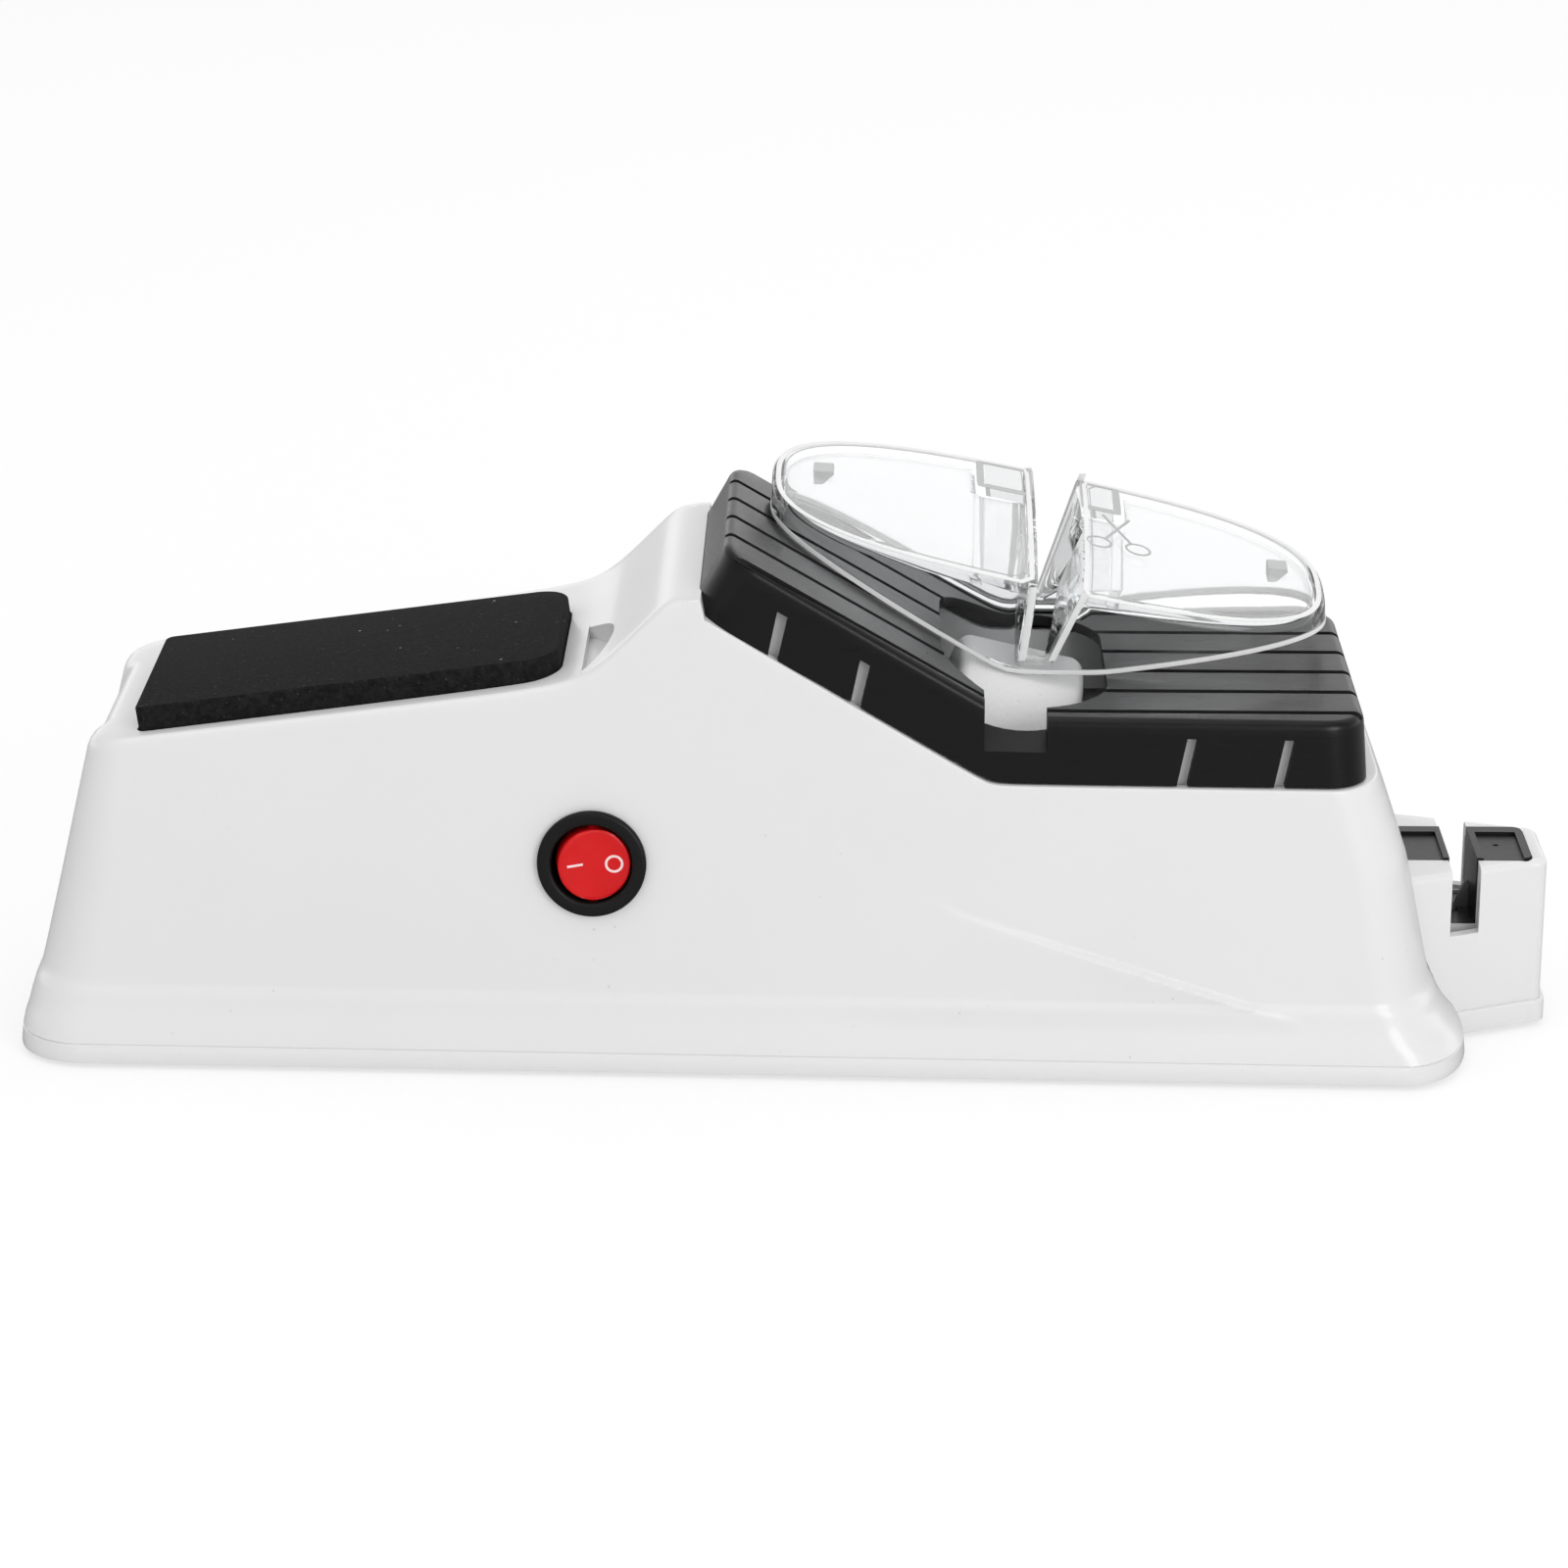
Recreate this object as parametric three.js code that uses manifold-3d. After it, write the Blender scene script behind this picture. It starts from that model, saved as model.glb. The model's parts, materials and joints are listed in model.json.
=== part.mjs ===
// Electric knife sharpener, in millimetres, +Z up.
// +X runs from the low stone end to the block for sharpening by hand, and -Y is the switch side.
// The origin lies on the surface that the feet stand on, below the middle of the whole object.
import * as THREE from 'three';
import { mergeVertices } from 'three/addons/utils/BufferGeometryUtils.js';
import Module from 'manifold-3d';

const wasm = await Module();
wasm.setup();

// Driving dimensions: general
const clearance = 0.3;
const overrun = 4;
const wallThickness = 2.4;
const footProtrusion = 1;
const cornerSteps = 5;
const roundSteps = 20;
const screwSteps = 12;
const fineSteps = 40;

// Driving dimensions: sharpening stone in the tail
const stoneLength = 72.4;
const stoneWidth = 41;
const stoneThickness = 8.2;
const stoneRise = 4.2;
const stoneEnd = -30.1;
const stoneInset = 8.3;
const stoneMargin = 23;
const stoneCorner = 1.6;
const stoneRightCorner = 6;
const stonePadThickness = 0.8;
const fingerLength = 7;
const fingerDepth = 5;
const fingerWidth = 26;

// Driving dimensions: casing, seen from above as a wedge that narrows towards the stone
const tailRiseShare = 0.1333;
const tailAngle = Math.atan(tailRiseShare);
const stoneStart = stoneEnd - stoneLength * Math.cos(tailAngle);
const baseLeft = stoneStart - stoneMargin;
const baseRight = 126;
const baseHalfDepth = 36.6;
const cornerRadius = 12;
const rightCornerShare = 1.6;
const wedgeShare = 0.027;
const lipHeight = 3;
const lipEase = 1;
const flangeHeight = 11.8;
const flangeStep = 0.6;
const faceInset = 2.5;
const faceFoot = baseHalfDepth - faceInset;
const stoneFront = stoneInset - faceFoot;
const faceLeanShare = 0.05;
const faceFootHeight = 17;
const leftFlare = 4.6;
const leftFaceFoot = baseLeft + leftFlare;
const leftFaceLeanShare = 0.249;
const rightFaceFoot = 118.6;
const rightFaceKnee = 114.5;
const rightFaceKneeHeight = 35.7;
const rightFaceTop = 108.6;

// Driving dimensions: side profile of the casing and its cap
const rimHeight = 51.6;
const tailTopRise = 5;
const tailTopHeight = rimHeight + tailTopRise;
const tailTopStart = -109;
const neckFoot = -25.1;
const neckRiseShare = 1.11;
const neckFillet = 3;
const crestStart = -11.4;
const crestWidth = 3.1;
const rimBend = 42.6;
const rimSlopeShare = 0.584;
const capRise = 11.5;
const capTopHeight = rimHeight + capRise;
const capBend = 45.7;
const capSlopeShare = 0.584;
const capInset = 0.8;
const capLeft = -7.5;
const capRight = 106.4;
const capWall = 2.2;
const capTopThickness = 1.8;
const capLeftTopInset = 5.8;
const capRightTopInset = 0.9;
const capCornerRadius = 7;
const capRightCornerShare = 1.1;
const capLipHeight = 2.6;
const capLipThickness = 1.4;

// Driving dimensions: ribs, cooling slots, wheel opening and notch of the cap
const groovePitch = 11.33;
const grooveWidth = 1.8;
const grooveDepth = 1;
const grooveCount = 6;
const ventWidth = 1.8;
const ventHeight = 8.2;
const ventLeanShare = 0.2;
const ventPlaces = [5.9, 19.8, 74.8, 91.1];
const openingCentre = 48.75;
const openingWidth = 28.5;
const openingInset = 7.1;
const openingDepth = (faceFoot - openingInset) * 2;
const notchCentre = 46.8;
const notchWidth = 10.6;
const notchFrontRise = 4;
const notchBackRise = 8;
const notchFrontHeight = rimHeight + notchFrontRise;
const notchBackHeight = rimHeight + notchBackRise;
const notchBoss = 2;

// Driving dimensions: clear cover
const coverLeft = 4.7;
const coverRight = 101.8;
const coverInset = 0.7;
const coverDepth = 42.4;
const coverBack = faceFoot - coverInset;
const coverFront = coverBack - coverDepth;
const coverDraftShare = 0.03;
const coverRoundPower = 2.8;
const coverWall = 2.2;
const coverRise = 16.5;
const coverRoofHeight = capTopHeight + coverRise;
const coverRoofPlace = 50;
const coverFallShare = 0.21;
const coverRiseShare = 0.233;
const coverBottomBend = 62;
const coverBottomShare = 0.115;
const slotFoot = 48.7;
const slotFootWidth = 2.7;
const slotSteps = 4;
const slotFrontShares = [0.144, 0.47];
const slotBackShares = [0.1, 0.33];
const slotWall = 1.5;
const slotBridgeHeight = 2.4;
const slotBridgeDepth = 2.6;
const windowLengths = [7.2, 4.4];
const windowDepth = 8;
const windowInset = 2.4;
const windowWall = 2.3;
const hookLength = 4.4;
const hookThickness = 1.6;
const hookDrop = 5;
const hookInset = 7;

// Driving dimensions: grinding wheel and its drive, on one tilted axis
const wheelCentreX = 44.2;
const wheelDrop = 19.9;
const wheelCentreZ = capTopHeight - wheelDrop;
const driveTilt = THREE.MathUtils.degToRad(13);
const wheelInset = 12.1;
const wheelRadius = faceFoot - wheelInset;
const wheelWidth = 22;
const wheelRound = 2.2;
const wheelBore = 4;
const wheelClearance = 1.2;
const shaftRadius = 1.6;
const hubRadius = 8;
const hubFlange = 2.4;
const hubLength = 4;
const washerRadius = 8;
const washerThickness = 1.6;
const nutRadius = 5;
const nutHeight = 4;
const motorRadius = 13.9;
const motorLength = 34;
const motorGap = 5.4;
const motorBossRadius = 5;
const motorBossLength = 1.8;
const motorEndLength = 4;
const terminalLength = 4.5;
const terminalWidth = 2.8;
const terminalThickness = 0.8;
const terminalSpread = 8;
const guardThickness = 1.5;
const guardGap = 2.4;
const guardCheekGap = 2.2;

// Driving dimensions: motor bracket and small screws
const bracketThickness = 2;
const bracketHalfWidth = 17;
const bracketFootLength = 12;
const bracketTop = 16;
const screwRadius = 1.4;
const screwHeadRadius = 2.8;
const screwHeadHeight = 1.8;
const screwLength = 8;
const motorScrewSpread = 8.5;
const motorScrewRadius = 1.2;
const motorScrewHead = 2.2;

// Driving dimensions: switch on the front face
const switchPlaceX = -24.7;
const switchPlaceZ = 36.8;
const bezelRadius = 9.3;
const bezelRise = 1.5;
const bezelOpening = 6.9;
const switchBodyRadius = 7.7;
const switchBodyLength = 14;
const rockerRadius = 6.2;
const rockerHeight = 6.4;
const rockerPivotDepth = 3.2;
const rockerRise = 1.7;
const rockerTilt = THREE.MathUtils.degToRad(10);
const rockerPinRadius = 1;
const rockerPinLength = 0.5;
const switchFloor = 9.5;
const bladeWidth = 4.8;
const bladeThickness = 0.8;
const bladeLength = 7;
const bladeSpread = 4.2;
const springRadius = 1.1;
const springWire = 0.3;
const springTurns = 4;
const springSteps = 32;

// Driving dimensions: power jack at the back
const jackPlaceX = -70;
const jackPlaceZ = 24;
const jackRadius = 5.6;
const jackFlangeRadius = 7;
const jackFlangeHeight = 1.4;
const jackLength = 15;
const jackBore = 2.9;
const jackBoreDepth = 9.5;
const jackPinRadius = 1;
const jackNutRadius = 7.4;
const jackNutHeight = 2.4;

// Driving dimensions: circuit board
const boardX = -62;
const boardY = 2;
const boardLength = 44;
const boardWidth = 28;
const boardThickness = 1.6;
const boardHeight = 12;
const boardHoleInset = 3.6;
const fuseRadius = 2.6;
const fuseLength = 18;
const capacitorRadius = 4;
const capacitorHeight = 11;
const leadRadius = 0.9;
const leadSteps = 14;
const leadSides = 6;

// Driving dimensions: base plate, posts and feet
const plateThickness = 2.4;
const plateRecess = 0.6;
const postRadius = 3.8;
const postHoleRadius = 1.7;
const postHeight = 20;
const postLeftInset = 32.9;
const postRightInset = 34;
const postLeft = baseLeft + postLeftInset;
const postRight = baseRight - postRightInset;
const postInset = 5.2;
const footRadius = 6;
const footInset = 13;
const footEndInset = 20;
const footSeat = 0.8;
const standRadius = 3.4;

// Driving dimensions: block for sharpening by hand
const blockRight = 140.8;
const blockHeight = 29.9;
const blockNearFront = 19.2;
const blockNearBack = 16.4;
const blockFarHalf = 9.1;
const blockNearPlace = 116;
const blockCorner = 2.4;
const blockWall = 2;
const blockLipHeight = 4;
const blockLip = 0.8;
const gateCentre = 125.95;
const gateWidth = 5.2;
const gateFootHeight = 18.2;
const insertGateWidth = 4.8;
const insertGateDrop = 0.4;
const insertGateFoot = gateFootHeight - insertGateDrop;
const insertStart = 115.8;
const insertEnd = 137.9;
const insertFront = -8.8;
const insertBack = 7.6;
const insertRise = 0.4;
const insertFoot = 8;
const insertWall = 1;
const edgeBladeLength = 9;
const edgeBladeWidth = 3.4;
const edgeBladeThickness = 1.2;
const edgeBladeTilt = THREE.MathUtils.degToRad(20);
const edgeBladeGap = 0.4;
const edgeBladeDrop = 4.5;
const housingScrewSpread = 12.2;
const housingScrewHeight = 17;
const housingScrewLength = 5.6;
const housingBossRadius = 2.8;

// Solids: from geometry to manifold and back
function toSolid(geometry) {
  const plain = geometry.index ? geometry.toNonIndexed() : geometry.clone();
  plain.deleteAttribute('normal');
  plain.deleteAttribute('uv');
  const merged = mergeVertices(plain, 1e-4);
  return new wasm.Manifold(new wasm.Mesh({
    numProp: 3,
    vertProperties: new Float32Array(merged.attributes.position.array),
    triVerts: new Uint32Array(merged.index.array),
  }));
}

function toGeometry(solid) {
  const mesh = solid.getMesh();
  const positions = new Float32Array(mesh.numVert * 3);
  for (let i = 0; i < mesh.numVert; i += 1) {
    for (let k = 0; k < 3; k += 1) positions[i * 3 + k] = mesh.vertProperties[i * mesh.numProp + k];
  }
  const geometry = new THREE.BufferGeometry();
  geometry.setAttribute('position', new THREE.BufferAttribute(positions, 3));
  geometry.setIndex(new THREE.BufferAttribute(new Uint32Array(mesh.triVerts), 1));
  const flat = geometry.toNonIndexed();
  flat.computeVertexNormals();
  return flat;
}

// A closed body through rings of points that all have the same count
function loft(rings) {
  const count = rings[0].length;
  const positions = rings.flat().flatMap((p) => [p.x, p.y, p.z]);
  const index = [];
  for (let r = 0; r + 1 < rings.length; r += 1) {
    for (let i = 0; i < count; i += 1) {
      const a = r * count + i;
      const b = r * count + ((i + 1) % count);
      index.push(a, b, b + count, a, b + count, a + count);
    }
  }
  const last = (rings.length - 1) * count;
  for (let i = 1; i + 1 < count; i += 1) {
    index.push(0, i + 1, i);
    index.push(last, last + i, last + i + 1);
  }
  const geometry = new THREE.BufferGeometry();
  geometry.setAttribute('position', new THREE.Float32BufferAttribute(positions, 3));
  geometry.setIndex(index);
  return toSolid(geometry);
}

function moved(geometry, x, y, z) {
  return geometry.translate(x, y, z);
}

function box(x0, x1, y0, y1, z0, z1) {
  const geometry = new THREE.BoxGeometry(x1 - x0, y1 - y0, z1 - z0);
  return toSolid(moved(geometry, (x0 + x1) / 2, (y0 + y1) / 2, (z0 + z1) / 2));
}

// A cylinder standing on z0, axis along Z
function post(x, y, z0, z1, radius, steps = roundSteps) {
  const geometry = new THREE.CylinderGeometry(radius, radius, z1 - z0, steps);
  geometry.rotateX(Math.PI / 2);
  return toSolid(moved(geometry, x, y, (z0 + z1) / 2));
}

// A body of revolution about the local Z axis from [radius, height] pairs
function turned(pairs, steps = roundSteps) {
  const points = pairs.map(([r, h]) => new THREE.Vector2(r, h));
  const geometry = new THREE.LatheGeometry(points, steps);
  geometry.rotateX(Math.PI / 2);
  return toSolid(geometry);
}

// A polygon in the XZ plane swept along Y from y0 to y1
function sideProfile(points, y0, y1) {
  const shape = new THREE.Shape(points.map(([x, z]) => new THREE.Vector2(x, z)));
  const geometry = new THREE.ExtrudeGeometry(shape, { depth: y1 - y0, bevelEnabled: false });
  geometry.rotateX(Math.PI / 2);
  return toSolid(moved(geometry, 0, y1, 0));
}

// A polygon in the XY plane raised along Z from z0 to z1
function planProfile(points, z0, z1) {
  const shape = new THREE.Shape(points.map(([x, y]) => new THREE.Vector2(x, y)));
  const geometry = new THREE.ExtrudeGeometry(shape, { depth: z1 - z0, bevelEnabled: false });
  return toSolid(moved(geometry, 0, 0, z0));
}

function placed(solid, matrix) {
  const geometry = toGeometry(solid);
  geometry.applyMatrix4(matrix);
  return toSolid(geometry);
}

function joined(solids) {
  return solids.reduce((sum, solid) => sum.add(solid));
}

// Plan outline of the casing at one height: a wedge with rounded corners, the right ones drawn out along Y
function wedgeRing(left, right, half, radius, z, rightShare = rightCornerShare) {
  const spots = [
    { x: left, side: -1, end: 1 },
    { x: right, side: -1, end: -1 },
    { x: right, side: 1, end: -1 },
    { x: left, side: 1, end: 1 },
  ];
  const points = [];
  spots.forEach(({ x, side, end }, k) => {
    const radiusY = end < 0 ? radius * rightShare : radius;
    const centreX = x + end * radius;
    const centreY = side * (half + wedgeShare * centreX - radiusY);
    for (let i = 0; i <= cornerSteps; i += 1) {
      const angle = Math.PI + (k + i / cornerSteps) * (Math.PI / 2);
      points.push(new THREE.Vector3(centreX + radius * Math.cos(angle), centreY + radiusY * Math.sin(angle), z));
    }
  });
  return points;
}

// Casing: its outline at each height, moved in or out by an offset
const casingTop = capTopHeight + (capBend - capLeft) * capSlopeShare;
const leftAt = (z) => leftFaceFoot + (z - faceFootHeight) * leftFaceLeanShare;
const halfAt = (z) => faceFoot - (z - flangeHeight) * faceLeanShare;
const rightLean = (rightFaceKnee - rightFaceTop) / (rimHeight - rightFaceKneeHeight);
const flareRight = baseRight - rightFaceFoot;
const flareFrontShares = [0.55, 0.14];
const flareLeftShares = [0.68, 0.52];
const flareRightShares = [0.55, 0.24];

function casingLevels() {
  const stepZ = flangeHeight + flangeStep;
  const middle = (lipHeight + flangeHeight) / 2;
  const flare = baseHalfDepth - faceFoot;
  return [
    [0, baseLeft + lipEase, baseRight - lipEase, baseHalfDepth - lipEase],
    [lipEase, baseLeft, baseRight, baseHalfDepth],
    [lipHeight, baseLeft, baseRight, baseHalfDepth],
    [middle, leftFaceFoot - leftFlare * flareLeftShares[0], rightFaceFoot + flareRight * flareRightShares[0],
      faceFoot + flare * flareFrontShares[0]],
    [flangeHeight, leftFaceFoot - leftFlare * flareLeftShares[1], rightFaceFoot + flareRight * flareRightShares[1],
      faceFoot + flangeStep],
    [stepZ, leftFaceFoot - leftFlare * flareLeftShares[1] + flangeStep,
      rightFaceFoot + flareRight * flareRightShares[1] - flangeStep, faceFoot],
    [faceFootHeight, leftFaceFoot, rightFaceFoot, halfAt(faceFootHeight)],
    [rightFaceKneeHeight, leftAt(rightFaceKneeHeight), rightFaceKnee, halfAt(rightFaceKneeHeight)],
    [rimHeight, leftAt(rimHeight), rightFaceTop, halfAt(rimHeight)],
    [casingTop, leftAt(casingTop), rightFaceTop - (casingTop - rimHeight) * rightLean, halfAt(casingTop)],
  ];
}

function casingLoft(offset, extendDown) {
  const rings = casingLevels().map(([z, left, right, half]) => {
    const radius = cornerRadius - (z / casingTop) * (cornerRadius / 2) + offset;
    return wedgeRing(left - offset, right + offset, half + offset, radius, z);
  });
  if (extendDown) {
    const low = rings[1].map((p) => new THREE.Vector3(p.x, p.y, -overrun));
    rings.splice(0, 1, low);
  }
  return loft(rings);
}

// Heights of the sloping faces
const tailTop = (x) => tailTopHeight + (x - tailTopStart) * tailRiseShare;
const neckAt = (x) => tailTop(neckFoot) + (x - neckFoot) * neckRiseShare;
const crestHeight = neckAt(crestStart);
const capTop = (x) => capTopHeight + Math.max(0, capBend - x) * capSlopeShare;
const rimAt = (x) => rimHeight + Math.max(0, rimBend - x) * rimSlopeShare;
const halfDepthAt = (x, z) => halfAt(z) + wedgeShare * x;

// The outer top line of the casing from the tail to the right end
function casingProfile(drop, openTop) {
  const farLeft = baseLeft - overrun;
  const farRight = baseRight + overrun;
  const filletRise = neckFillet * neckRiseShare;
  const neckShares = [0, 0.35, 1];
  const line = [
    [farLeft, -overrun],
    [farLeft, tailTop(farLeft) - drop],
    [neckFoot - neckFillet + drop, tailTop(neckFoot - neckFillet) - drop],
    [neckFoot + neckFillet * neckShares[1] + drop, tailTop(neckFoot) + filletRise * neckShares[1] - drop],
    [neckFoot + neckFillet + drop, neckAt(neckFoot + neckFillet) - drop],
    [crestStart + drop, crestHeight - drop],
  ];
  const ledge = crestStart + crestWidth;
  if (openTop) {
    line.push([ledge + drop, crestHeight - drop], [ledge + drop, casingTop + overrun],
      [farRight, casingTop + overrun]);
  } else {
    line.push([ledge, crestHeight], [ledge, rimAt(ledge) - clearance], [rimBend, rimHeight - clearance],
      [farRight, rimHeight - clearance]);
  }
  line.push([farRight, -overrun]);
  return sideProfile(line, -baseHalfDepth * 2, baseHalfDepth * 2);
}

// Frame of the stone: its own X runs up the slope of the tail
const stoneMiddleX = stoneStart + (stoneLength * Math.cos(tailAngle)) / 2;
const stoneMiddleY = stoneFront + stoneWidth / 2;
const stoneFrame = new THREE.Matrix4().makeTranslation(stoneMiddleX, stoneMiddleY, tailTop(stoneMiddleX))
  .multiply(new THREE.Matrix4().makeRotationY(-tailAngle));
const stoneSink = stoneThickness - stoneRise;
const pocketDepth = stoneSink + stonePadThickness + clearance * 2;

function slab(length, width, leftRadius, rightRadius, z0, z1) {
  const points = [];
  const corners = [[-1, -1], [1, -1], [1, 1], [-1, 1]];
  corners.forEach(([sx, sy], k) => {
    const radius = sx < 0 ? leftRadius : rightRadius;
    for (let i = 0; i <= cornerSteps; i += 1) {
      const angle = Math.PI + (k + i / cornerSteps) * (Math.PI / 2);
      points.push([sx * (length / 2 - radius) + radius * Math.cos(angle),
        sy * (width / 2 - radius) + radius * Math.sin(angle)]);
    }
  });
  return planProfile(points, z0, z1);
}

function stonePocket(extra, floor) {
  return slab(stoneLength + extra * 2, stoneWidth + extra * 2, stoneCorner + extra, stoneRightCorner + extra,
    -floor, stoneRise + overrun);
}

// The hollow beside the stone where a finger lifts it
function fingerHollow(extra) {
  const start = stoneLength / 2 - overrun;
  const foot = stoneLength / 2;
  const half = fingerWidth / 2 + extra;
  const bottom = fingerDepth + extra;
  const end = foot + extra + fingerLength * (1 + overrun / fingerDepth);
  const points = [[start, -bottom], [foot + extra, -bottom], [end, overrun], [start, overrun]];
  return sideProfile(points, -half, half);
}

// Frames of the switch and the jack, flat on the leaning front and back faces
function faceFrame(x, z, side) {
  const y = side * halfDepthAt(x, z);
  const normal = new THREE.Vector3(-wedgeShare, side, faceLeanShare).normalize();
  const up = new THREE.Vector3(0, 0, 1);
  const across = new THREE.Vector3().crossVectors(up, normal).normalize();
  const top = new THREE.Vector3().crossVectors(normal, across);
  return new THREE.Matrix4().makeBasis(across, top, normal).setPosition(x, y, z);
}
const switchFrame = faceFrame(switchPlaceX, switchPlaceZ, -1);
const jackFrame = faceFrame(jackPlaceX, jackPlaceZ, 1);

// Places of the posts that take the base screws
const postPlaces = [postLeft, postRight].flatMap((x) => [-1, 1].map((side) => (
  [x, side * (halfDepthAt(x, postHeight) - postInset)])));
const plateTop = plateRecess + plateThickness;

function bodyShell() {
  const outer = casingLoft(0, false).intersect(casingProfile(0, false));
  const hollow = casingLoft(-wallThickness, true).intersect(casingProfile(wallThickness, true));
  const pocketWalls = placed(stonePocket(wallThickness, pocketDepth + wallThickness), stoneFrame)
    .add(placed(fingerHollow(wallThickness), stoneFrame))
    .intersect(outer);
  const posts = postPlaces.map(([x, y]) => post(x, y, plateTop + clearance, postHeight, postRadius));
  const gussets = postPlaces.map(([x, y]) => box(
    x - wallThickness / 2, x + wallThickness / 2,
    Math.min(y, y + Math.sign(y) * (postInset + overrun)), Math.max(y, y + Math.sign(y) * (postInset + overrun)),
    plateTop + clearance, postHeight));
  let shell = outer.subtract(hollow).add(pocketWalls);
  shell = shell.add(joined([...posts, ...gussets]).intersect(outer));
  shell = shell.subtract(joined(postPlaces.map(([x, y]) => (
    post(x, y, -overrun, plateTop + clearance + screwLength, postHoleRadius, screwSteps)))));
  shell = shell.subtract(placed(stonePocket(clearance, pocketDepth), stoneFrame));
  shell = shell.subtract(placed(fingerHollow(0), stoneFrame));
  shell = shell.subtract(placed(post(0, 0, -overrun * 2, overrun, switchBodyRadius + clearance), switchFrame));
  shell = shell.subtract(placed(post(0, 0, -overrun * 2, overrun, jackRadius + clearance), jackFrame));
  shell = shell.subtract(joined(housingScrewFrames.map((frame) => placed(
    post(0, 0, -overrun, overrun * 2, postHoleRadius, screwSteps), frame))));
  return shell;
}

// Places that stand on the base plate
const driveAxis = new THREE.Vector3(Math.cos(driveTilt), 0, -Math.sin(driveTilt));
const driveFrame = new THREE.Matrix4().makeBasis(
  new THREE.Vector3(-Math.sin(driveTilt), 0, -Math.cos(driveTilt)),
  new THREE.Vector3(0, 1, 0), driveAxis).setPosition(wheelCentreX, 0, wheelCentreZ);
const motorFace = -(wheelWidth / 2 + hubLength + motorGap);
const bracketPlace = wheelCentreX + (motorFace + bracketThickness / 2) * Math.cos(driveTilt)
  - (wheelCentreZ - boardHeight) * Math.tan(driveTilt);
const guardRadius = wheelRadius + guardGap + guardThickness;
const guardHalfWidth = wheelWidth / 2 + guardCheekGap + guardThickness;
const guardFoot = wheelCentreZ - guardRadius * Math.cos(driveTilt) - guardHalfWidth * Math.sin(driveTilt);
const boardPlaces = [-1, 1].map((side) => (
  [boardX + side * (boardLength / 2 - boardHoleInset), boardY + side * (boardWidth / 2 - boardHoleInset)]));
const bracketPlaces = [-1, 1].map((side) => (
  [bracketPlace - bracketFootLength / 2, side * (bracketHalfWidth - boardHoleInset)]));
const guardPlaces = [-1, 1].map((side) => [wheelCentreX + side * (wheelWidth / 2), 0]);

function basePlate() {
  const ring = wedgeRing(baseLeft + wallThickness + clearance, baseRight - wallThickness - clearance,
    baseHalfDepth - wallThickness - clearance, cornerRadius - wallThickness, 0);
  const inner = casingLevels().find(([z]) => z === lipHeight);
  const low = ring.map((p) => new THREE.Vector3(p.x, p.y, plateRecess));
  const high = wedgeRing(inner[1] + wallThickness + clearance, inner[2] - wallThickness - clearance,
    inner[3] - wallThickness - clearance, cornerRadius - wallThickness, plateTop);
  let plate = loft([low, high]);
  const stands = [
    ...boardPlaces.map(([x, y]) => post(x, y, plateRecess, boardHeight, standRadius)),
    ...bracketPlaces.map(([x, y]) => post(x, y, plateRecess, boardHeight, standRadius)),
    ...guardPlaces.map(([x, y]) => post(x, y, plateRecess, guardFoot - clearance, standRadius)),
  ];
  plate = plate.add(joined(stands));
  const holes = [
    ...postPlaces.map(([x, y]) => post(x, y, -overrun, plateTop + overrun, postHoleRadius, screwSteps)),
    ...postPlaces.map(([x, y]) => post(x, y, -overrun, plateRecess + screwHeadHeight / 2,
      screwHeadRadius + clearance)),
    ...[...boardPlaces, ...bracketPlaces].map(([x, y]) => (
      post(x, y, plateTop, boardHeight + overrun, screwRadius + clearance, screwSteps))),
    ...footPlaces.map(([x, y]) => post(x, y, -overrun, plateRecess + footSeat, footRadius + clearance)),
  ];
  return plate.subtract(joined(holes));
}

const footPlaces = [baseLeft + footEndInset, baseRight - footEndInset].flatMap((x) => [-1, 1].map((side) => (
  [x, side * (baseHalfDepth + wedgeShare * x - footInset)])));

function rubberFeet() {
  return footPlaces.map(([x, y]) => (
    post(x, y, -footProtrusion, plateRecess + footSeat - clearance, footRadius)));
}

// A screw whose head lies below z0 and whose shank points up
function screwUp(x, y, z0, length) {
  const head = post(x, y, z0 - screwHeadHeight, z0, screwHeadRadius, screwSteps);
  return head.add(post(x, y, z0 - clearance, z0 + length, screwRadius, screwSteps));
}

// A screw whose head lies above z0 and whose shank points down
function screwDown(x, y, z0, length) {
  const head = post(x, y, z0, z0 + screwHeadHeight, screwHeadRadius, screwSteps);
  return head.add(post(x, y, z0 - length, z0 + clearance, screwRadius, screwSteps));
}

function baseScrews() {
  const seat = plateRecess + screwHeadHeight / 2 - clearance;
  return postPlaces.map(([x, y]) => screwUp(x, y, seat, screwLength));
}

// Cap outline at one height
function capRing(z, offset) {
  const rimLeft = rimAt(capLeft);
  const rise = Math.max(0, z - rimLeft) / (capTop(capLeft + capLeftTopInset) - rimLeft);
  const left = capLeft + rise * capLeftTopInset;
  const right = capRight - ((z - rimHeight) / (capTopHeight - rimHeight)) * capRightTopInset;
  return wedgeRing(left - offset, right + offset, halfAt(z) - capInset + offset, capCornerRadius + offset, z,
    capRightCornerShare);
}

function capLoft(offset, z0, z1) {
  const rimLeft = rimAt(capLeft);
  const levels = [z0, rimLeft, z1];
  return loft(levels.map((z) => capRing(z, offset)));
}

// The band between the cap's bottom line and its top line
function capBand(topDrop, bottomRise, y0, y1) {
  const left = capLeft - overrun * 2;
  const right = capRight + overrun * 2;
  return sideProfile([
    [left, rimAt(left) + bottomRise], [rimBend, rimHeight + bottomRise], [right, rimHeight + bottomRise],
    [right, capTopHeight - topDrop], [capBend, capTopHeight - topDrop], [left, capTop(left) - topDrop],
  ], y0, y1);
}

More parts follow.
